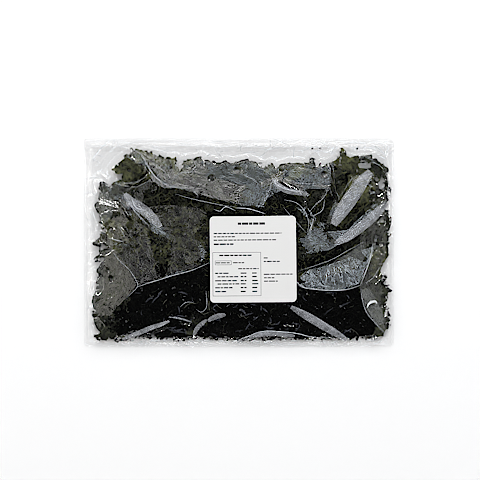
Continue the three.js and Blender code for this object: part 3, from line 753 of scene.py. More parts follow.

# Painted highlights and reflections on the front film. Pale see-through strips lie on its upper face:
# thin ones paint the glint along a sharp crease, and wide ones paint the sheen of softboxes mirrored in
# folded and leaning film. Each is given as its look, half its width and its line in millimetres.
PAINTED_CREASE_LIGHT = [
    ("bright", 0.4, [
        (-98.7, -42.8), (-88, -39), (-76.5, -35.5), (-63, -31.2), (-45.5, -26.4), (-28, -19),
    ]),
    ("faint", 0.5, [(-123, -7), (-115, -17), (-105.5, -26), (-98.7, -36), (-98, -43), (-109, -53.5)]),
    ("reflecting_pleat", 2.4, [(-67, -75.5), (-76, -79), (-86, -82.5), (-98, -87.5), (-113, -93.5)]),
    ("faint", 0.9, [(-68, -71.5), (-57, -72.8), (-45, -76.5)]),
    ("faint", 0.4, [(-57, -62), (-51, -57.4), (-43, -57)]),
    ("faint", 0.5, [(-41, -64), (-36, -66.5), (-31, -61), (-31.5, -46)]),
    ("reflecting_pleat", 2.2, [(-44, -90), (-40, -82), (-31, -74)]),
    ("reflecting_veil", 6.0, [(-133, 50), (-128, 40), (-127, 30), (-132, 20)]),
    ("reflecting_pleat", 2.6, [(-30, -75), (-22, -71), (-13, -69)]),
    ("reflecting_pleat", 4.0, [(50, -61.5), (61, -68), (74.5, -76), (88, -84), (104, -93.5)]),
    ("faint", 0.4, [(52, -62), (64, -66), (78, -74), (94, -86)]),
    ("bright", 0.4, [(-4, -95), (9, -90), (22, -85.6), (36, -85.4), (55, -87.4), (71, -91), (91, -92)]),
    ("reflecting_pleat", 2.4, [(0, -95), (12, -91), (24, -88), (38, -88), (54, -90)]),
    ("bright", 0.45, [(57, -41), (62, -43), (74.5, -44.8), (90, -45.7), (105.5, -44.4), (117, -40.5)]),
    ("bright", 0.5, [(55, -36.5), (58, -40), (65, -44)]),
    ("faint", 0.4, [(59, -26.4), (74.5, -21.5), (90, -15.7), (105.5, -7), (121, 1)]),
    ("faint", 0.4, [(104, -19), (108, -26), (114, -37)]),
    ("reflecting_veil", 8.0, [(86, -27), (99, -22), (110, -16), (122, -4)]),
    ("bright", 0.5, [(129, -0.5), (127, -13), (121.5, -29), (117, -39.5)]),
    ("faint", 0.4, [(137, -22), (129, -34), (120, -39.5)]),
    ("faint", 0.6, [(117, -43), (118.5, -54), (123, -67), (132.5, -78.5), (142, -88)]),
    ("reflecting_veil", 6.5, [(121, -44), (127, -58), (134, -71), (137, -79)]),
    ("white", 1.2, [(123.4, -62.5), (125, -59), (128, -57), (132, -56.6), (133, -59)]),
    ("reflecting_pleat", 3.0, [(32, 62), (38, 55), (46, 50.5), (56, 48.5), (67, 46.5)]),
    ("bright", 0.6, [(40, 63), (35, 61), (36, 56), (46, 51.5), (58, 49)]),
    ("faint", 0.5, [(43.6, 41.4), (55, 38.5), (63, 30.7), (67, 20), (65.8, 10)]),
    ("faint", 0.4, [(43, 34), (54, 21), (64, 10.5)]),
    ("faint", 0.5, [(68, 30), (74.5, 37.5), (80.5, 42.5), (84.5, 49), (85.5, 56)]),
    ("faint", 0.5, [(82.5, 42), (80.5, 32), (75, 27.8), (69.7, 26), (68.5, 31)]),
    ("bright", 0.4, [(72, 24), (70, 17), (67, 10)]),
    ("reflecting_pleat", 7.0, [(91, 17), (96, 26), (107, 42), (117, 56), (127, 69)]),
    ("reflecting_pleat", 5.0, [(92, -1), (103, 5), (115, 13.5), (129, 25), (143, 39)]),
    ("faint", 0.4, [(36, 64.6), (55, 58), (74.5, 57), (88, 59)]),
    ("faint", 0.5, [(34, 64.6), (29, 51), (21, 33.6)]),
    ("faint", 0.4, [(2, 72), (5, 65), (14, 61), (21, 53)]),
    ("bright", 0.5, [(-3, 33.6), (8.7, 32.7), (16.5, 30.7), (25.5, 27.8)]),
    ("bright", 0.4, [(-24, 32), (-18, 30.5), (-12.6, 34.6), (-3, 30.7)]),
    ("bright", 0.45, [(-102.6, 90), (-94, 85), (-88, 74.3), (-80.3, 63.6), (-67, 54.5), (-45.5, 52)]),
    ("faint", 0.4, [(-61, 47), (-45.5, 42.4), (-18.4, 36.5), (-3, 34.6)]),
    ("faint", 0.4, [(-88, 80), (-76.5, 72.4), (-68, 64), (-66, 55)]),
    ("faint", 0.5, [(-66, 55), (-57, 66.6), (-45.5, 68.5), (-39.7, 80)]),
    ("bright", 0.4, [(-44, 53), (-42.6, 49), (-39, 45)]),
    ("reflecting_pleat", 5.0, [(-110, 47), (-104, 40), (-95, 34), (-85, 26), (-75, 15)]),
    ("faint", 0.6, [(-112, 49), (-104.6, 37.5), (-98, 27.8), (-86, 16)]),
    ("bright", 0.5, [(-103, 42), (-99, 34), (-91, 31)]),
    ("faint", 0.5, [(-117, 18), (-113, 12), (-110, 5)]),
    ("bright", 0.4, [(-126, 4.6), (-118, 2.6), (-111, 1)]),
    ("white", 0.6, [(-143, 79), (-133, 92), (-124, 100)]),
    ("white", 0.4, [(128, 95), (136, 91), (143, 83)]),
    ("white", 0.4, [(136, 84), (143, 89), (148, 95)]),
    ("white", 0.4, [(146, 60), (144, 48), (147, 36)]),
]

# More painted highlights and sheen: a row of short strokes right of the label, and, at random, short
# painted glints in the margins, faint painted sheen in strokes over the dark leaf below the label,
# and painted glints shaped like puckers along the bottom weld.
STROKES = 11
MARGIN_GLINT_STROKES = 130
SHEEN_STROKES = 60
PUCKER_GLINTS = 34
for k in range(STROKES):
    left = 71 + 2.2 * k
    PAINTED_CREASE_LIGHT.append(("faint", 0.3, [(left, -33), (left + 0.5, -31), (left + 2, -29 + 0.2 * k)]))
for line, _, _ in random_folds(MARGIN_GLINT_STROKES, 19):
    px, py = np.array(line).T * MM
    if read_off(leaf_depth, px, py).max() < -1 * MM:
        PAINTED_CREASE_LIGHT.append(("white", 0.3, line))
draw = np.random.default_rng(29)
for _ in range(SHEEN_STROKES):
    px = draw.uniform(-104, 108)
    py = draw.uniform(-90, -46)
    line = bowed_line(draw, px, py, 2.5, 7)
    PAINTED_CREASE_LIGHT.append(("dim", draw.uniform(0.3, 0.9), line))
draw = np.random.default_rng(23)
for k in range(PUCKER_GLINTS):
    px = -104 + 7 * k + draw.uniform(-3, 3)
    py = draw.uniform(-96.8, -94.2)
    reach = draw.uniform(0.9, 3.6)
    crest = draw.uniform(-0.3, 0.5) * reach
    line = [(px - reach, py - 0.2 * reach), (px + crest, py + 0.45 * reach), (px + reach, py)]
    PAINTED_CREASE_LIGHT.append(("white", draw.uniform(0.3, 0.9), line))
CREASE_LIFT = 0.1 * MM
CREASE_THICK = 0.06 * MM
CREASE_STEP = 0.8 * MM
CREASE_ROUGHNESS = 0.75


def through(line, step):
    """Points a step apart on a smooth curve through a line of points, and how far along each is."""
    points = np.array(line, float) * MM
    ends = np.vstack([2 * points[0] - points[1], points, 2 * points[-1] - points[-2]])
    curve = []
    for a, b, c, d in zip(ends, ends[1:], ends[2:], ends[3:]):
        count = max(2, int(np.hypot(*(c - b)) / step))
        t = np.arange(count)[:, None] / count
        early = 2 * b + (c - a) * t + (2 * a - 5 * b + 4 * c - d) * t**2
        curve.append(0.5 * (early + (3 * b - a - 3 * c + d) * t**3))
    curve = np.vstack(curve + [points[-1:]])
    return curve, np.linspace(0, 1, len(curve))


def crease(line, width, across):
    """A thin strip on the front film, crowned along its middle and drawn out at both ends."""
    curve, along = through(line, CREASE_STEP)
    ahead = np.gradient(curve, axis=0)
    ahead /= np.linalg.norm(ahead, axis=1)[:, None]
    bluntness = 0.5 if across == 3 else 0.3
    taper = np.sin(np.pi * np.clip(along, 0.03, 0.97)) ** bluntness
    side = np.linspace(-1, 1, across)[:, None]
    x = np.clip(curve[:, 0] - side * width * taper * ahead[:, 1], -HALF_LENGTH, HALF_LENGTH)
    y = np.clip(curve[:, 1] + side * width * taper * ahead[:, 0], -HALF_WIDTH, HALF_WIDTH)
    top = front_top(x, y) + CREASE_LIFT + 0.15 * width * taper * (1 - side**2)
    return closed_sheet(x, y, top, top - CREASE_THICK, all_quads(x.shape))


def painted_glint_material(name, colour, cover, scuffs):
    """Painted highlights and reflections: a pale strip streaked by the scuffs, that hides a share of
    what lies under it.
    """
    material, shader = new_material(name, {"Base Color": (*colour, 1), "Roughness": CREASE_ROUGHNESS})
    tree = material.node_tree
    surface = add_node(tree, "ShaderNodeGroup", {"Scuff Scale": scuffs}, node_tree=handled_film)
    share = add_node(tree, "ShaderNodeMath", {1: cover}, operation="MULTIPLY", use_clamp=True)
    link(tree, [
        (surface.outputs["Scuffs"], share.inputs[0]),
        (share.outputs[0], shader.inputs["Alpha"]),
    ])
    return material


def joined(parts):
    """The points and faces of several parts as one."""
    starts = np.cumsum([0] + [len(points) for points, _ in parts])
    points = np.concatenate([points for points, _ in parts])
    return points, np.concatenate([faces + start for (_, faces), start in zip(parts, starts)])


# For each painted look of the crease strips: its piece, its material, colour, cover and scuffs, and the
# points across.
PAINTED_CREASE_LOOKS = {
    "bright": ("bright_creases", "painted_highlight_bright", (0.75, 0.78, 0.82), 0.42, 190, 3),
    "white": ("margin_creases", "painted_highlight_white", (0.95, 0.96, 0.98), 0.55, 190, 3),
    "faint": ("faint_creases", "painted_highlight_soft", (0.6, 0.63, 0.67), 0.2, 190, 3),
    "reflecting_pleat": ("pleats", "painted_reflection_pleat", (0.62, 0.63, 0.67), 0.17, 60, 7),
    "dim": ("dim_creases", "painted_reflection_ripple", (0.45, 0.48, 0.6), 0.035, 60, 3),
    "reflecting_veil": ("hazy_film", "hazy_film", (0.5, 0.52, 0.5), 0.065, 60, 9),
}
for kind, (name, painted_look, colour, cover, scuffs, across) in PAINTED_CREASE_LOOKS.items():
    lines = [(line, width) for tone, width, line in PAINTED_CREASE_LIGHT if tone == kind]
    points, faces = joined([crease(line, width * MM, across) for line, width in lines])
    material = painted_glint_material(painted_look, colour, cover, scuffs)
    mesh_piece(name, points, faces, [material])

# The bed of broken leaf. Transport breaks the thinnest dried leaf into flakes, which settle into a
# dense bed that fills the pouch. Its base is one uneven mass, and loose flakes and shreds cover it
# on both faces, tilted any way, up to the films.
LEAF_GAP = 0.2 * MM
FULL_DEPTH = 13 * MM
RAGGED_REACH = 3 * MM
roof = front - LEAF_GAP
ground = back + LEAF_GAP
lid = ground + (roof - ground) * (0.35 + 0.65 * strengthen(0, FULL_DEPTH, leaf_depth))


def ragged(x, y, seed):
    """How far a torn and curled edge stands out from a smooth one, from about -3 to 3 mm."""
    warp = 2.4 * MM * (waves(x, y, 3.7 * MM, seed + 6) - 0.5)
    lobes = creased(x + warp, y - warp, 6.4 * MM, seed) - 0.5
    teeth = creased(x - warp, y + warp, 3.2 * MM, seed + 1) - 0.5
    nibbles = waves(x, y, 1.9 * MM, seed + 2) - 0.5
    return (2.2 * lobes + 3.0 * teeth + 2.4 * nibbles) * MM


def leaf_surface():
    """The look of dried blade: two tones in patches, wispy veins, and a leathery grain."""
    group, given, made = new_group(
        "dried_leaf_surface",
        [("Dark", "Color"), ("Pale", "Color"), ("Patch Scale", "Float"), ("Smoothest", "Float")],
        [("Color", "Color"), ("Roughness", "Float"), ("Height", "Float")],
    )
    place = add_node(group, "ShaderNodeTexCoord")
    patches = add_node(group, "ShaderNodeTexNoise", {"Detail": 6, "Roughness": 0.65, "Distortion": 0.8})
    tone = add_node(group, "ShaderNodeMapRange", {"From Min": 0.45, "From Max": 0.72})
    wisps = add_node(group, "ShaderNodeTexNoise", {"Scale": 190, "Detail": 2, "Distortion": 3.5})
    middle = add_node(group, "ShaderNodeMath", {1: 0.5}, operation="SUBTRACT")
    away = add_node(group, "ShaderNodeMath", operation="ABSOLUTE")
    vein = add_node(group, "ShaderNodeMapRange", {"From Min": 0.035, "From Max": 0, "To Max": 0.7})
    both = add_node(group, "ShaderNodeMath", operation="MAXIMUM", use_clamp=True)
    mixed = add_node(group, "ShaderNodeMix", data_type="RGBA")
    grain = add_node(group, "ShaderNodeTexNoise", {"Scale": 900, "Detail": 4})
    roughness = add_node(group, "ShaderNodeMapRange", {"To Max": 0.85})
    relief = add_node(group, "ShaderNodeMath", {1: 1.5}, operation="MULTIPLY_ADD")
    colours = [socket for socket in mixed.inputs if socket.type == "RGBA"]
    blended = next(socket for socket in mixed.outputs if socket.type == "RGBA")
    link(group, [
        (place.outputs["Object"], patches.inputs["Vector"]),
        (place.outputs["Object"], wisps.inputs["Vector"]),
        (place.outputs["Object"], grain.inputs["Vector"]),
        (given.outputs["Patch Scale"], patches.inputs["Scale"]),
        (patches.outputs["Fac"], tone.inputs["Value"]),
        (wisps.outputs["Fac"], middle.inputs[0]),
        (middle.outputs[0], away.inputs[0]),
        (away.outputs[0], vein.inputs["Value"]),
        (tone.outputs["Result"], both.inputs[0]),
        (vein.outputs["Result"], both.inputs[1]),
        (both.outputs[0], mixed.inputs["Factor"]),
        (given.outputs["Dark"], colours[0]),
        (given.outputs["Pale"], colours[1]),
        (given.outputs["Smoothest"], roughness.inputs["To Min"]),
        (grain.outputs["Fac"], roughness.inputs["Value"]),
        (patches.outputs["Fac"], relief.inputs[0]),
        (grain.outputs["Fac"], relief.inputs[2]),
        (blended, made.inputs["Color"]),
        (roughness.outputs["Result"], made.inputs["Roughness"]),
        (relief.outputs[0], made.inputs["Height"]),
    ])
    return group


dried_leaf = leaf_surface()
RELIEF_DEPTH = 0.3 * MM


def leaf_material(name, dark, pale, patch, smoothest, shine, bump):
    """A material of dried blade, from the shared surface."""
    material, shader = new_material(name, {"Specular IOR Level": shine})
    tree = material.node_tree
    surface = add_node(tree, "ShaderNodeGroup", {
        "Dark": (*dark, 1),
        "Pale": (*pale, 1),
        "Patch Scale": patch,
        "Smoothest": smoothest,
    }, node_tree=dried_leaf)
    relief = add_node(tree, "ShaderNodeBump", {"Strength": bump, "Distance": RELIEF_DEPTH})
    link(tree, [
        (surface.outputs["Color"], shader.inputs["Base Color"]),
        (surface.outputs["Roughness"], shader.inputs["Roughness"]),
        (surface.outputs["Height"], relief.inputs["Height"]),
        (relief.outputs["Normal"], shader.inputs["Normal"]),
    ])
    return material


BLACK = (0.0004, 0.0005, 0.0006)
broken_leaf = leaf_material("broken_dried_leaf", BLACK, (0.006, 0.0065, 0.005), 260, 0.5, 0.03, 0.8)
olive_flake = leaf_material(
    "olive_flakes", (0.004, 0.0045, 0.002), (0.06, 0.064, 0.024), 160, 0.4, 0.15, 0.8
)
shiny_flake = leaf_material(
    "shiny_flakes", (0.004, 0.0045, 0.006), (0.05, 0.052, 0.055), 160, 0.1, 1.0, 0.4
)
BED_STEP = 1.5 * MM
bed_x = np.arange(-145 * MM, 147 * MM, BED_STEP)
bed_y = np.arange(-98 * MM, 84 * MM, BED_STEP)
bed_top = draped(*face_of("bed_of_broken_leaf", 1), bed_x, bed_y)
near_bed = soften((~np.isnan(bed_top)).astype(float), 14) > 0.12
bed_top = spread(bed_top)


def kept_quads(keep):
    """The grid cells whose four points are all kept."""
    whole = keep[:-1, :-1] & keep[:-1, 1:] & keep[1:, 1:] & keep[1:, :-1]
    return all_quads(keep.shape)[whole.ravel()]


x, y = np.meshgrid(bed_x, bed_y)
lumps = 1.8 * creased(x, y, 5 * MM, 41) + 1.1 * waves(x, y, 2.4 * MM, 42)
top = np.minimum(bed_top + (lumps - 1.4) * MM, read_off(lid, x, y) - 0.9 * MM)
bottom = read_off(ground, x, y) + (0.7 + 1.2 * waves(x, y, 6 * MM, 43)) * MM
in_leaf = read_off(leaf_depth, x, y) + ragged(x, y, 45) > 1.4 * MM
solid = near_bed & in_leaf & (top > bottom + 0.3 * MM)
points, faces = closed_sheet(x, y, top, bottom, kept_quads(solid))
bed = mesh_piece("bed_of_leaf", points, faces, [broken_leaf])
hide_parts("bed_of_broken_leaf")


def scattered(draw, count, region, depth):
    """Random places in a region, given as left, low, right and high, where the leaf is so deep."""
    left, low, right, high = (v * MM for v in region)
    x = draw.uniform(left, right, count)
    y = draw.uniform(low, high, count)
    inside = read_off(leaf_depth, x, y)
    kept = (inside > depth[0] * MM) & (inside < depth[1] * MM)
    return x[kept], y[kept]


def copied(faces, count):
    """The faces of one small part, for as many such parts, whose points follow one another."""
    size = faces.max() + 1
    return (faces[None] + (np.arange(count) * size)[:, None, None]).reshape(-1, faces.shape[1])


def tube_walls(rings, around):
    """The walls of a tube, as faces from each ring of points to the next."""
    ring = np.arange(around)
    after = (ring + 1) % around
    walls = np.stack([ring, after, after + around, ring + around], 1)
    return np.concatenate([walls + around * k for k in range(rings - 1)])


FLAKE_HALF = 0.12 * MM


def flakes(x0, y0, z0, draw, size, corners, ruffle):
    """Points and faces of curled flakes of leaf with lobed edges, one at each place."""
    count = len(x0)
    angle = (np.arange(corners) + draw.uniform(0, 0.7, (count, corners))) * 2 * np.pi / corners
    lobed = draw.integers(2, 5, (count, 1)) * angle + draw.uniform(0, 6, (count, 1))
    lobes = 0.72 + 0.28 * np.sin(lobed)
    radius = draw.uniform(*size, (count, 1)) * MM * lobes * draw.uniform(0.75, 1, (count, corners))
    u = radius * np.cos(angle)
    v = radius * np.sin(angle) * draw.uniform(0.35, 0.9, (count, 1))
    w = draw.uniform(-0.35, 0.35, (count, 1)) * np.abs(u) + draw.uniform(-0.2, 0.2, (count, 1)) * u
    w += ruffle * radius * np.sin(draw.integers(2, 6, (count, 1)) * angle)
    centre = np.zeros((count, 1))
    u = np.concatenate([u, centre, centre], 1)
    v = np.concatenate([v, centre, centre], 1)
    w = np.concatenate([w, centre + FLAKE_HALF, centre - FLAKE_HALF], 1)
    turn = draw.uniform(0, 2 * np.pi, (count, 1))
    tip = draw.normal(0, 0.35, (count, 1))
    roll = draw.normal(0, 0.35, (count, 1))
    v, w = v * np.cos(roll) - w * np.sin(roll), v * np.sin(roll) + w * np.cos(roll)
    u, w = u * np.cos(tip) - w * np.sin(tip), u * np.sin(tip) + w * np.cos(tip)
    x = x0[:, None] + u * np.cos(turn) - v * np.sin(turn)
    y = y0[:, None] + u * np.sin(turn) + v * np.cos(turn)
    z = z0[:, None] + w
    z = z - np.maximum(np.max(z - read_off(lid, x, y), 1, keepdims=True), 0)
    z = np.maximum(z, read_off(ground, x, y) + np.array([0.1] * corners + [0.2, 0]) * MM)
    ring = np.arange(corners)
    after = (ring + 1) % corners
    upper = np.stack([ring, after, np.full(corners, corners)], 1)
    lower = np.stack([after, ring, np.full(corners, corners + 1)], 1)
    return points_of(x, y, z), copied(np.concatenate([upper, lower]), count)


SHRED_STEPS = 9
SHRED_HALF = 0.07 * MM


def shreds(x0, y0, z0, draw, length, width, curl):
    """Points and faces of thin curled strips of leaf with tapered ends, one at each place."""
    count = len(x0)
    s = np.linspace(0, 1, SHRED_STEPS)
    phase = draw.uniform(0, 6, (count, 1))
    heading = draw.uniform(0, 2 * np.pi, (count, 1)) + draw.normal(0, curl, (count, 1)) * s
    heading = heading + 0.5 * curl * np.sin(2 * np.pi * s * draw.uniform(0.5, 1.5, (count, 1)) + phase)
    pace = draw.uniform(*length, (count, 1)) * MM / SHRED_STEPS
    x = x0[:, None] + np.cumsum(np.cos(heading) * pace, 1)
    y = y0[:, None] + np.cumsum(np.sin(heading) * pace, 1)
    whole = read_off(leaf_depth, x, y).min(1) > 0.4 * MM
    taper = np.sin(np.pi * np.clip(s, 0.06, 0.94)) ** 0.6
    half = draw.uniform(*width, (count, 1)) / 2 * MM * taper
    roll = draw.normal(0, 0.7, (count, 1)) + draw.normal(0, 1.2, (count, 1)) * s
    side_x = -np.sin(heading) * np.cos(roll) * half
    side_y = np.cos(heading) * np.cos(roll) * half
    side_z = np.sin(roll) * half
    z = z0[:, None] + 0.4 * MM * np.sin(np.pi * s) + np.zeros((count, SHRED_STEPS))
    x = np.stack([x - side_x, x, x + side_x, x], 2)
    y = np.stack([y - side_y, y, y + side_y, y], 2)
    z = np.stack([z - side_z, z + SHRED_HALF, z + side_z, z - SHRED_HALF], 2)
    high = read_off(lid, x, y) - np.array([1, 0, 1, 2]) * SHRED_HALF
    low = read_off(ground, x, y) + np.array([1, 2, 1, 0]) * SHRED_HALF
    z = np.clip(z, low, np.maximum(high, low))
    x, y, z = (values[whole] for values in (x, y, z))
    walls = tube_walls(SHRED_STEPS, 4)[:, [0, 3, 2, 1]]
    end = 4 * (SHRED_STEPS - 1)
    one = np.concatenate([walls, [[0, 1, 2, 3]], [[end + 3, end + 2, end + 1, end]]])
    return points_of(x, y, z), copied(one, len(x))


def between(draw, x, y, power):
    """Random heights from the bed up to the front film. A low power puts most of them near it."""
    low = np.minimum(read_off(bed_top, x, y, bed_x, bed_y), read_off(lid, x, y) - 1.5 * MM)
    return low + (read_off(lid, x, y) - low) * draw.random(len(x)) ** power


# Each kind of flake: its piece, material and region, how many, how deep the leaf is there, its
# size and corners, and how near the film it lies. Depths and sizes are in millimetres.
EVERYWHERE = (-147, -99, 148, 94)
FLAKES = [
    ("flakes_black", broken_leaf, EVERYWHERE, 10500, (0.5, 90), (1.1, 2.8), 7, 0.7),
    ("flakes_olive", olive_flake, (-147, -40, 148, 94), 1200, (1, 90), (0.6, 1.6), 7, 0.3),
    ("flakes_shiny", shiny_flake, EVERYWHERE, 900, (1, 90), (0.8, 2.2), 7, 0.2),
]
for index, (name, material, region, count, depth, size, corners, power) in enumerate(FLAKES):
    draw = np.random.default_rng(60 + index)
    x, y = scattered(draw, count, region, depth)
    points, faces = flakes(x, y, between(draw, x, y, power), draw, size, corners, 0.15)
    mesh_piece(name, points, faces, [material], smooth=False)
FLAKES_UNDER = 2300
draw = np.random.default_rng(70)
x, y = scattered(draw, FLAKES_UNDER, EVERYWHERE, (2, 90))
z = read_off(ground, x, y) + draw.uniform(0.2, 1.2, len(x)) * MM
points, faces = flakes(x, y, z, draw, (1.5, 3.5), 7, 0.15)
mesh_piece("flakes_under", points, faces, [broken_leaf], smooth=False)

# Shreds and scraps. Thin strips torn from the fronds lie all through the bed and on top of it, and
# curled scraps of frill stand round its edge. Bare stems lie among them, some olive and some pale.
DARK = (0.001, 0.0012, 0.001)
dark_shred = leaf_material("dark_shreds", DARK, (0.04, 0.044, 0.022), 200, 0.35, 0.15, 0.8)
olive_shred = leaf_material(
    "olive_shreds", (0.01, 0.011, 0.004), (0.13, 0.135, 0.05), 200, 0.35, 0.2, 0.8
)

# Each kind of shred: its piece, material, slot and region, how many, their length and width in
# millimetres, how curled they are, and how near the film they lie.
UPPER_PART = (-140, -30, 146, 84)
SHREDS = [
    ("shreds_black", broken_leaf, "broken_leaf", EVERYWHERE, 1450, (5, 14), (0.8, 2.2), 1.6, 0.5),
    ("shreds_dark", dark_shred, "dark_blade", UPPER_PART, 1500, (6, 20), (0.4, 1.5), 1.5, 0.12),
    ("shreds_olive", olive_shred, "olive_blade", UPPER_PART, 750, (5, 18), (0.4, 1.5), 1.6, 0.15),
    ("shreds_low", dark_shred, "dark_blade", (-130, -96, 140, -30), 170, (3, 9), (0.4, 1.2), 1.8, 0.25),
]
for index, shred in enumerate(SHREDS):
    name, material, slot, region, count, length, width, curl, power = shred
    draw = np.random.default_rng(80 + index)
    x, y = scattered(draw, count, region, (3, 90))
    points, faces = shreds(x, y, between(draw, x, y, power), draw, length, width, curl)
    mesh_piece(name, points, faces, [material])

# Each kind of scrap: its piece, material and slot, how many, how deep the leaf is there, and their
# size in millimetres.
SCRAPS = [
    ("scraps_dark", dark_shred, "dark_blade", 5200, (-0.6, 4), (1.2, 3.0)),
    ("scraps_olive", olive_shred, "olive_blade", 1500, (-0.8, 5), (1.0, 2.6)),
    ("scraps_black", broken_leaf, "broken_leaf", 4200, (-0.4, 3), (0.9, 2.4)),
]
for index, (name, material, slot, count, depth, size) in enumerate(SCRAPS):
    draw = np.random.default_rng(90 + index)
    x, y = scattered(draw, count, EVERYWHERE, depth)
    low = read_off(ground, x, y)
    z = low + (read_off(lid, x, y) - low) * draw.random(len(x))
    points, faces = flakes(x, y, z, draw, size, 12, 0.35)
    mesh_piece(name, points, faces, [material], smooth=False)

# The bare stems, as their tone, their width and their line in millimetres.
pale_stem = leaf_material("pale_stems", (0.05, 0.05, 0.036), (0.16, 0.16, 0.12), 200, 0.35, 0.35, 0.4)
STEMS = [
    ("olive", 0.9, [(-97, 39), (-90, 42), (-83, 43), (-76, 47), (-72, 51)]),
    ("olive", 0.9, [(102, 16), (109.5, 23.5), (117.5, 31.5), (125, 38.5), (136, 42.5)]),
    ("olive", 0.8, [(40, 73), (46, 76), (54, 76.5), (62, 75), (70, 76), (71.5, 82)]),
    ("olive", 0.7, [(47, 76), (50.5, 71), (51, 66), (50, 61)]),
    ("olive", 0.7, [(69, 75), (73, 68), (78, 62), (82, 59)]),
    ("olive", 0.8, [(96, 79), (97, 83), (102, 85), (106, 82)]),
    ("olive", 0.7, [(98, 75), (100, 70), (98, 66), (94, 64)]),
    ("olive", 0.7, [(-45, 57), (-42, 63), (-34, 66), (-29, 71)]),
    ("olive", 0.8, [(4, 77), (1, 70), (5, 64), (14, 58)]),
    ("pale", 0.8, [(-29.5, -46), (-28.5, -56), (-29, -62), (-27.5, -66), (-33.5, -69), (-37, -67)]),
    ("pale", 0.6, [(-53, -63), (-49, -59), (-45, -58), (-41, -58.5)]),
    ("pale", 0.6, [(-73, -59), (-71, -56), (-69, -54.5)]),
    ("pale", 0.5, [(-24, -56), (-20, -61), (-17, -63)]),
    ("pale", 0.5, [(-1, -69), (1, -72), (4, -70), (7, -73), (9, -71)]),
    ("pale", 0.5, [(28, -75), (31, -79), (35, -78)]),
    ("pale", 0.5, [(-109, -64), (-107, -67), (-106, -66)]),
    ("pale", 0.45, [(108, -83), (113, -86), (116, -90)]),
    ("pale", 0.45, [(-86, -50), (-84, -52)]),
    ("pale", 0.45, [(4, -60), (6, -62), (9, -62)]),
    ("pale", 0.45, [(-16, -87.5), (-14, -88), (-12.5, -87.6)]),
]
STEM_SIDES = 6


def stem(line, width):
    """Points and faces of a round stem that follows a line just under the front film."""
    path = np.array(line) * MM
    ticks = np.arange(len(path))
    fine = np.linspace(0, len(path) - 1, 8 * len(path))
    reach = [np.interp(fine, ticks, path[:, k]) for k in range(2)]
    for _ in range(6):
        reach = [np.concatenate([a[:1], (a[:-2] + a[1:-1] * 2 + a[2:]) / 4, a[-1:]]) for a in reach]
    x, y = reach
    step_x = np.gradient(x)
    step_y = np.gradient(y)
    length = np.hypot(step_x, step_y)
    radius = width / 2 * MM * (0.45 + 0.55 * np.sin(np.pi * np.linspace(0.08, 0.92, len(x))))
    turns = np.arange(STEM_SIDES) * 2 * np.pi / STEM_SIDES
    out = np.outer(radius, np.cos(turns))
    px = x[:, None] - out * (step_y / length)[:, None]
    py = y[:, None] + out * (step_x / length)[:, None]
    level = read_off(roof, x, y) - radius - 0.15 * MM
    pz = np.minimum(level[:, None] + np.outer(radius, np.sin(turns)), read_off(roof, px, py))
    last = STEM_SIDES * (len(x) - 1)
    ends = [[0, 5, 2, 1], [2, 5, 4, 3]]
    ends += [[last, last + 1, last + 2, last + 5], [last + 2, last + 3, last + 4, last + 5]]
    return points_of(px, py, pz), np.concatenate([tube_walls(len(x), STEM_SIDES), ends])


for kind, material in [("olive", olive_shred), ("pale", pale_stem)]:
    points, faces = joined([stem(line, width) for tone, width, line in STEMS if tone == kind])
    mesh_piece("stems_" + kind, points, faces, [material])

# The fronds. Each is a piece of blade that dried whole: thin, crumpled and leathery, dark green to
# olive, with lobes and tears round its edge and small holes in it. They lie loose on the bed, and
# the film presses them down.
dark_blade = leaf_material("dark_dried_blade", DARK, (0.055, 0.06, 0.034), 170, 0.35, 0.15, 1.0)
olive_blade = leaf_material(
    "olive_dried_blade", (0.003, 0.0035, 0.0015), (0.12, 0.125, 0.052), 150, 0.35, 0.15, 1.0
)
BLADE = 0.22 * MM
BLADE_STEP = 0.72 * MM
SPARE = 4.5 * MM
EDGE_REACH = -0.3 * MM
HOLE_SIZE = 4.5 * MM
HOLE_LEVEL = 0.88


def edge_distance(corners, triangles, x, y):
    """Distance to the outline of a set of triangles, positive on both sides of it."""
    away = np.full(x.shape, np.inf)
    for a, b in rim_edges(triangles, len(corners)):
        away = np.minimum(away, beside(x, y, corners[a], corners[b])[1])
    return away


def welded(corners, triangles):
    """The same triangles with the corners that share a place made one."""
    places = np.round(corners[:, :2] / 1e-6).astype(int)
    _, first, same = np.unique(places, axis=0, return_index=True, return_inverse=True)
    return corners[first], same.reshape(-1)[triangles]


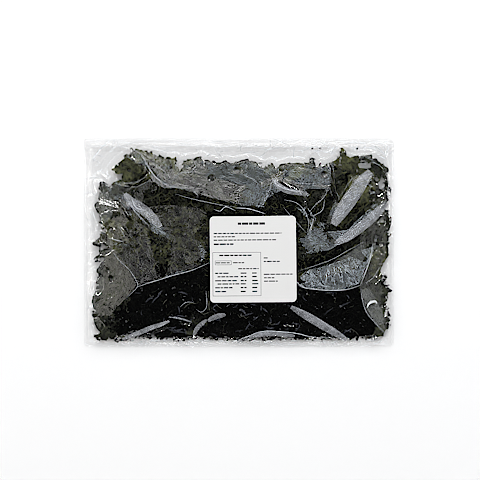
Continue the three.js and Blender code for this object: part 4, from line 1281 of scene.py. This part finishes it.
def frond(name, seed):
    """Points and faces of one frond, from the solid in the frame.

    Its edge is drawn out to the edge of the leaf in the pouch where that is close by.
    """
    corners, triangles = face_of(name, 1)
    used = np.unique(triangles)
    remap = np.zeros(len(corners), int)
    remap[used] = np.arange(len(used))
    corners, triangles = welded(corners[used], remap[triangles])
    low = corners.min(0) - SPARE - RAGGED_REACH
    high = corners.max(0) + SPARE + RAGGED_REACH
    xs = np.arange(low[0], high[0], BLADE_STEP)
    ys = np.arange(low[1], high[1], BLADE_STEP)
    x, y = np.meshgrid(xs, ys)
    body = draped(corners, triangles, xs, ys)
    inside = ~np.isnan(body)
    depth = edge_distance(corners, triangles, x, y) * np.where(inside, 1, -1)
    rim = read_off(leaf_depth, x, y)
    depth = depth + ragged(x, y, seed) + SPARE * strengthen(12 * MM, 6 * MM, rim)
    depth = np.minimum(depth, rim + ragged(x, y, seed + 7))
    holes = waves(x, y, HOLE_SIZE, seed + 2) - HOLE_LEVEL
    depth = np.minimum(depth, -holes * 18 * MM)
    ruffle = np.exp(-np.maximum(depth, 0) / (4 * MM))
    crumple = 1.5 * creased(x, y, 11 * MM, seed + 3) + 0.9 * creased(x, y, 4.5 * MM, seed + 4)
    frill = 2.2 * ruffle * (waves(x, y, 3.2 * MM, seed + 5) - 0.5)
    z = soften(spread(body), 2) + (crumple - 1.5 + frill) * MM
    z = np.minimum(z, read_off(roof, x, y) - 0.45 * MM)
    z = np.maximum(z, read_off(ground, x, y) + 0.6 * MM)
    quads = kept_quads(depth > EDGE_REACH)
    slope_y, slope_x = np.gradient(depth, BLADE_STEP)
    steep = np.maximum(slope_x**2 + slope_y**2, 0.3)
    corner_count = np.bincount(quads.ravel(), minlength=x.size)
    edge_point = ((corner_count > 0) & (corner_count < 4)).reshape(x.shape)
    pull = np.clip(depth / steep, -0.5 * BLADE_STEP, 0.5 * BLADE_STEP)
    x = np.where(edge_point, x - slope_x * pull, x)
    y = np.where(edge_point, y - slope_y * pull, y)
    return closed_sheet(x, y, z, z - BLADE, quads)


slots = {part["node"]: part["material_slot"] for part in frame["record"]["subparts"]}
frond_names = [node for node, slot in slots.items() if slot in ("dark_blade", "olive_blade")]
for index, name in enumerate(frond_names):
    points, faces = frond(name, 100 + 10 * index)
    blade = olive_blade if slots[name] == "olive_blade" else dark_blade
    piece = mesh_piece("blade_" + name, points, faces, [blade])
    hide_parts(name)

# The loose crumbs. A few bits of leaf have worked up past the fronds, to just below the top weld,
# and lie there between the films.
for index, name in enumerate(["crumb_1", "crumb_2", "crumb_3"]):
    low, high = (np.array(corner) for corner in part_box(name))
    bpy.ops.mesh.primitive_ico_sphere_add(subdivisions=3, radius=1)
    crumb = bpy.context.object
    crumb.name = "loose_" + name
    for vertex in crumb.data.vertices:
        unit = np.array(vertex.co)
        bumps = waves(unit[0:1] * 3 + index, unit[1:2] * 3 + unit[2], 1.0, 90 + index)
        rough = 0.75 + 0.5 * bumps[0]
        vertex.co = (low + high) / 2 + unit * rough * (high - low) / 2
    crumb.data.materials.append(broken_leaf)
    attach(crumb, "root")
    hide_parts(name)

# The label. It is a square of matt white paper with rounded corners, stuck to the front film, whose
# slope it follows. Its edge is slightly bevelled.
LABEL_THICK = 0.15 * MM
LABEL_TURN = 0.008
LABEL_SIDE = 83 * MM
LABEL_CORNER = 4 * MM
LABEL_BEVEL = 0.15 * MM
LABEL_SINK = 0.45 * MM
CORNER_STEPS = 8


def label_frame():
    """Middle of the label, and its directions across, up and out, from its solid."""
    corners, triangles = face_of("label", 1)
    a, b, c = corners[triangles[0]]
    out = np.cross(b - a, c - a)
    out /= np.linalg.norm(out)
    face = corners[np.unique(triangles)]
    middle = (face.max(0) + face.min(0)) / 2
    across = np.array([math.cos(LABEL_TURN), math.sin(LABEL_TURN), 0])
    up = np.cross(out, across)
    up /= np.linalg.norm(up)
    return middle - out * LABEL_SINK, np.cross(up, out), up, out


label_middle, across, up, out = label_frame()


def on_label(u, v, w):
    """Points over the label: u across and v up from its middle, w above its face."""
    return label_middle + np.outer(u, across) + np.outer(v, up) + np.outer(w, out)


def rounded_square(side, radius):
    """Outline of a square with rounded corners, counter-clockwise."""
    outline = []
    for k in range(4):
        cx = (side / 2 - radius) * (1 if k in (0, 3) else -1)
        cy = (side / 2 - radius) * (1 if k in (0, 1) else -1)
        for i in range(CORNER_STEPS + 1):
            angle = (k + i / CORNER_STEPS) * math.pi / 2
            outline.append((cx + radius * math.cos(angle), cy + radius * math.sin(angle)))
    return np.array(outline).T


PAPER = (0.6, 0.585, 0.57, 1)
paper, _ = new_material("matt_label_paper", {"Base Color": PAPER, "Roughness": 0.6})
outline = rounded_square(LABEL_SIDE, LABEL_CORNER)
inner = rounded_square(LABEL_SIDE - 2 * LABEL_BEVEL, LABEL_CORNER - LABEL_BEVEL)
n = outline.shape[1]
label_points = np.concatenate([
    on_label(*outline, np.zeros(n)),
    on_label(*outline, np.full(n, 0.6 * LABEL_THICK)),
    on_label(*inner, np.full(n, LABEL_THICK)),
])
ring = list(range(n))
mesh = bpy.data.meshes.new("label_paper")
back_and_face = [ring[::-1], [2 * n + i for i in ring]]
mesh.from_pydata(label_points.tolist(), [], tube_walls(3, n).tolist() + back_and_face)
mesh.materials.append(paper)
label = bpy.data.objects.new("paper_label", mesh)
scene.collection.objects.link(label)
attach(label, "root")
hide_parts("label")

# The print on the label. It is thin raised ink in a plain pattern: rows of grey bars and two ruled
# boxes. Each row is given as its left and right ends, its middle height and its thickness, and each
# box by two corners, all in millimetres from the label's top left corner.
INK_LOW = LABEL_THICK - 0.01 * MM
INK_HIGH = LABEL_THICK + 0.03 * MM
RULE_THICK = 0.35
BAR_GAP = 0.8
BAR_ROWS = [
    (27.1, 53.1, 7.3, 2.2),
    (3.8, 68.9, 16.6, 1.0),
    (3.8, 24.1, 19.8, 1.0),
    (3.8, 63.6, 23.0, 1.0),
    (3.9, 23.9, 26.9, 1.4),
    (9.0, 41.4, 37.7, 1.2),
    (5.6, 19.8, 44.8, 1.0),
    (22.2, 32.8, 44.8, 1.0),
    (27.1, 46.7, 50.6, 1.0),
    (51.6, 56.9, 40.4, 1.0),
    (51.7, 67.0, 43.8, 1.0),
    (51.6, 79.4, 56.1, 1.0),
    (51.8, 61.7, 59.5, 1.0),
    (51.8, 65.0, 62.7, 1.0),
]
TABLE_ROWS = [
    (4.9, 19.2, 54.8),
    (7.2, 27.0, 58.2),
    (4.9, 26.0, 62.0),
    (7.2, 28.0, 65.1),
    (4.9, 22.6, 68.7),
    (4.9, 16.6, 72.4),
]
TABLE_COLUMNS = [(29.4, 35.0), (40.4, 46.3)]
RULES = [(2.6, 34.9, 49.0, 76.6), (4.9, 42.9, 20.7, 46.7)]


def bars():
    """Boxes of ink as left, right, middle height and height, from the label's top left corner."""
    draw = np.random.default_rng(8)
    rows = list(BAR_ROWS)
    for left, right, v in TABLE_ROWS:
        rows += [(low, high, v, 1.1) for low, high in [(left, right), *TABLE_COLUMNS]]
    boxes = []
    for left, right, v, tall in rows:
        start = left
        while start < right - BAR_GAP:
            length = min(draw.uniform(1.8, 6.0), right - start)
            boxes.append((start, start + length, v, tall))
            start += length + BAR_GAP
    for left, low, right, high in RULES:
        boxes += [(left, right, low, RULE_THICK), (left, right, high, RULE_THICK)]
        boxes.append((left, left + RULE_THICK, (low + high) / 2, high - low))
        boxes.append((right - RULE_THICK, right, (low + high) / 2, high - low))
    return np.array(boxes) * MM


GREY = (0.06, 0.06, 0.06, 1)
ink, _ = new_material("grey_ink", {"Base Color": GREY, "Roughness": 0.6})
printed = bars()
half = LABEL_SIDE / 2
u = (printed[:, [0, 1, 1, 0]] - half).ravel()
v = (half - printed[:, 2:3] + printed[:, 3:4] * np.array([-0.5, -0.5, 0.5, 0.5])).ravel()
faces_of_ink = [on_label(u, v, np.full(u.size, level)) for level in (INK_LOW, INK_HIGH)]
points = np.concatenate([face.reshape(-1, 4, 3) for face in faces_of_ink], 1).reshape(-1, 3)
box = np.array([[3, 2, 1, 0], [4, 5, 6, 7], [0, 1, 5, 4], [1, 2, 6, 5], [2, 3, 7, 6], [3, 0, 4, 7]])
faces = copied(box, len(printed))
print_piece = mesh_piece("label_print", points, faces, [ink], smooth=False)

# The picture. The photograph was sharpened strongly, with bright and dark lines along every edge, so
# the render is sharpened a little as well. The model isn't changed by it.
scene.use_nodes = True
picture = scene.node_tree
sharper = add_node(picture, "CompositorNodeFilter", {"Fac": 0.3}, filter_type="SHARPEN_DIAMOND")
rendered = next(node for node in picture.nodes if node.type == "R_LAYERS")
shown = next(node for node in picture.nodes if node.type == "COMPOSITE")
link(picture, [
    (rendered.outputs["Image"], sharper.inputs["Image"]),
    (sharper.outputs["Image"], shown.inputs["Image"]),
])

# The box that the model fills, once it is dressed.
low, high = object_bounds()
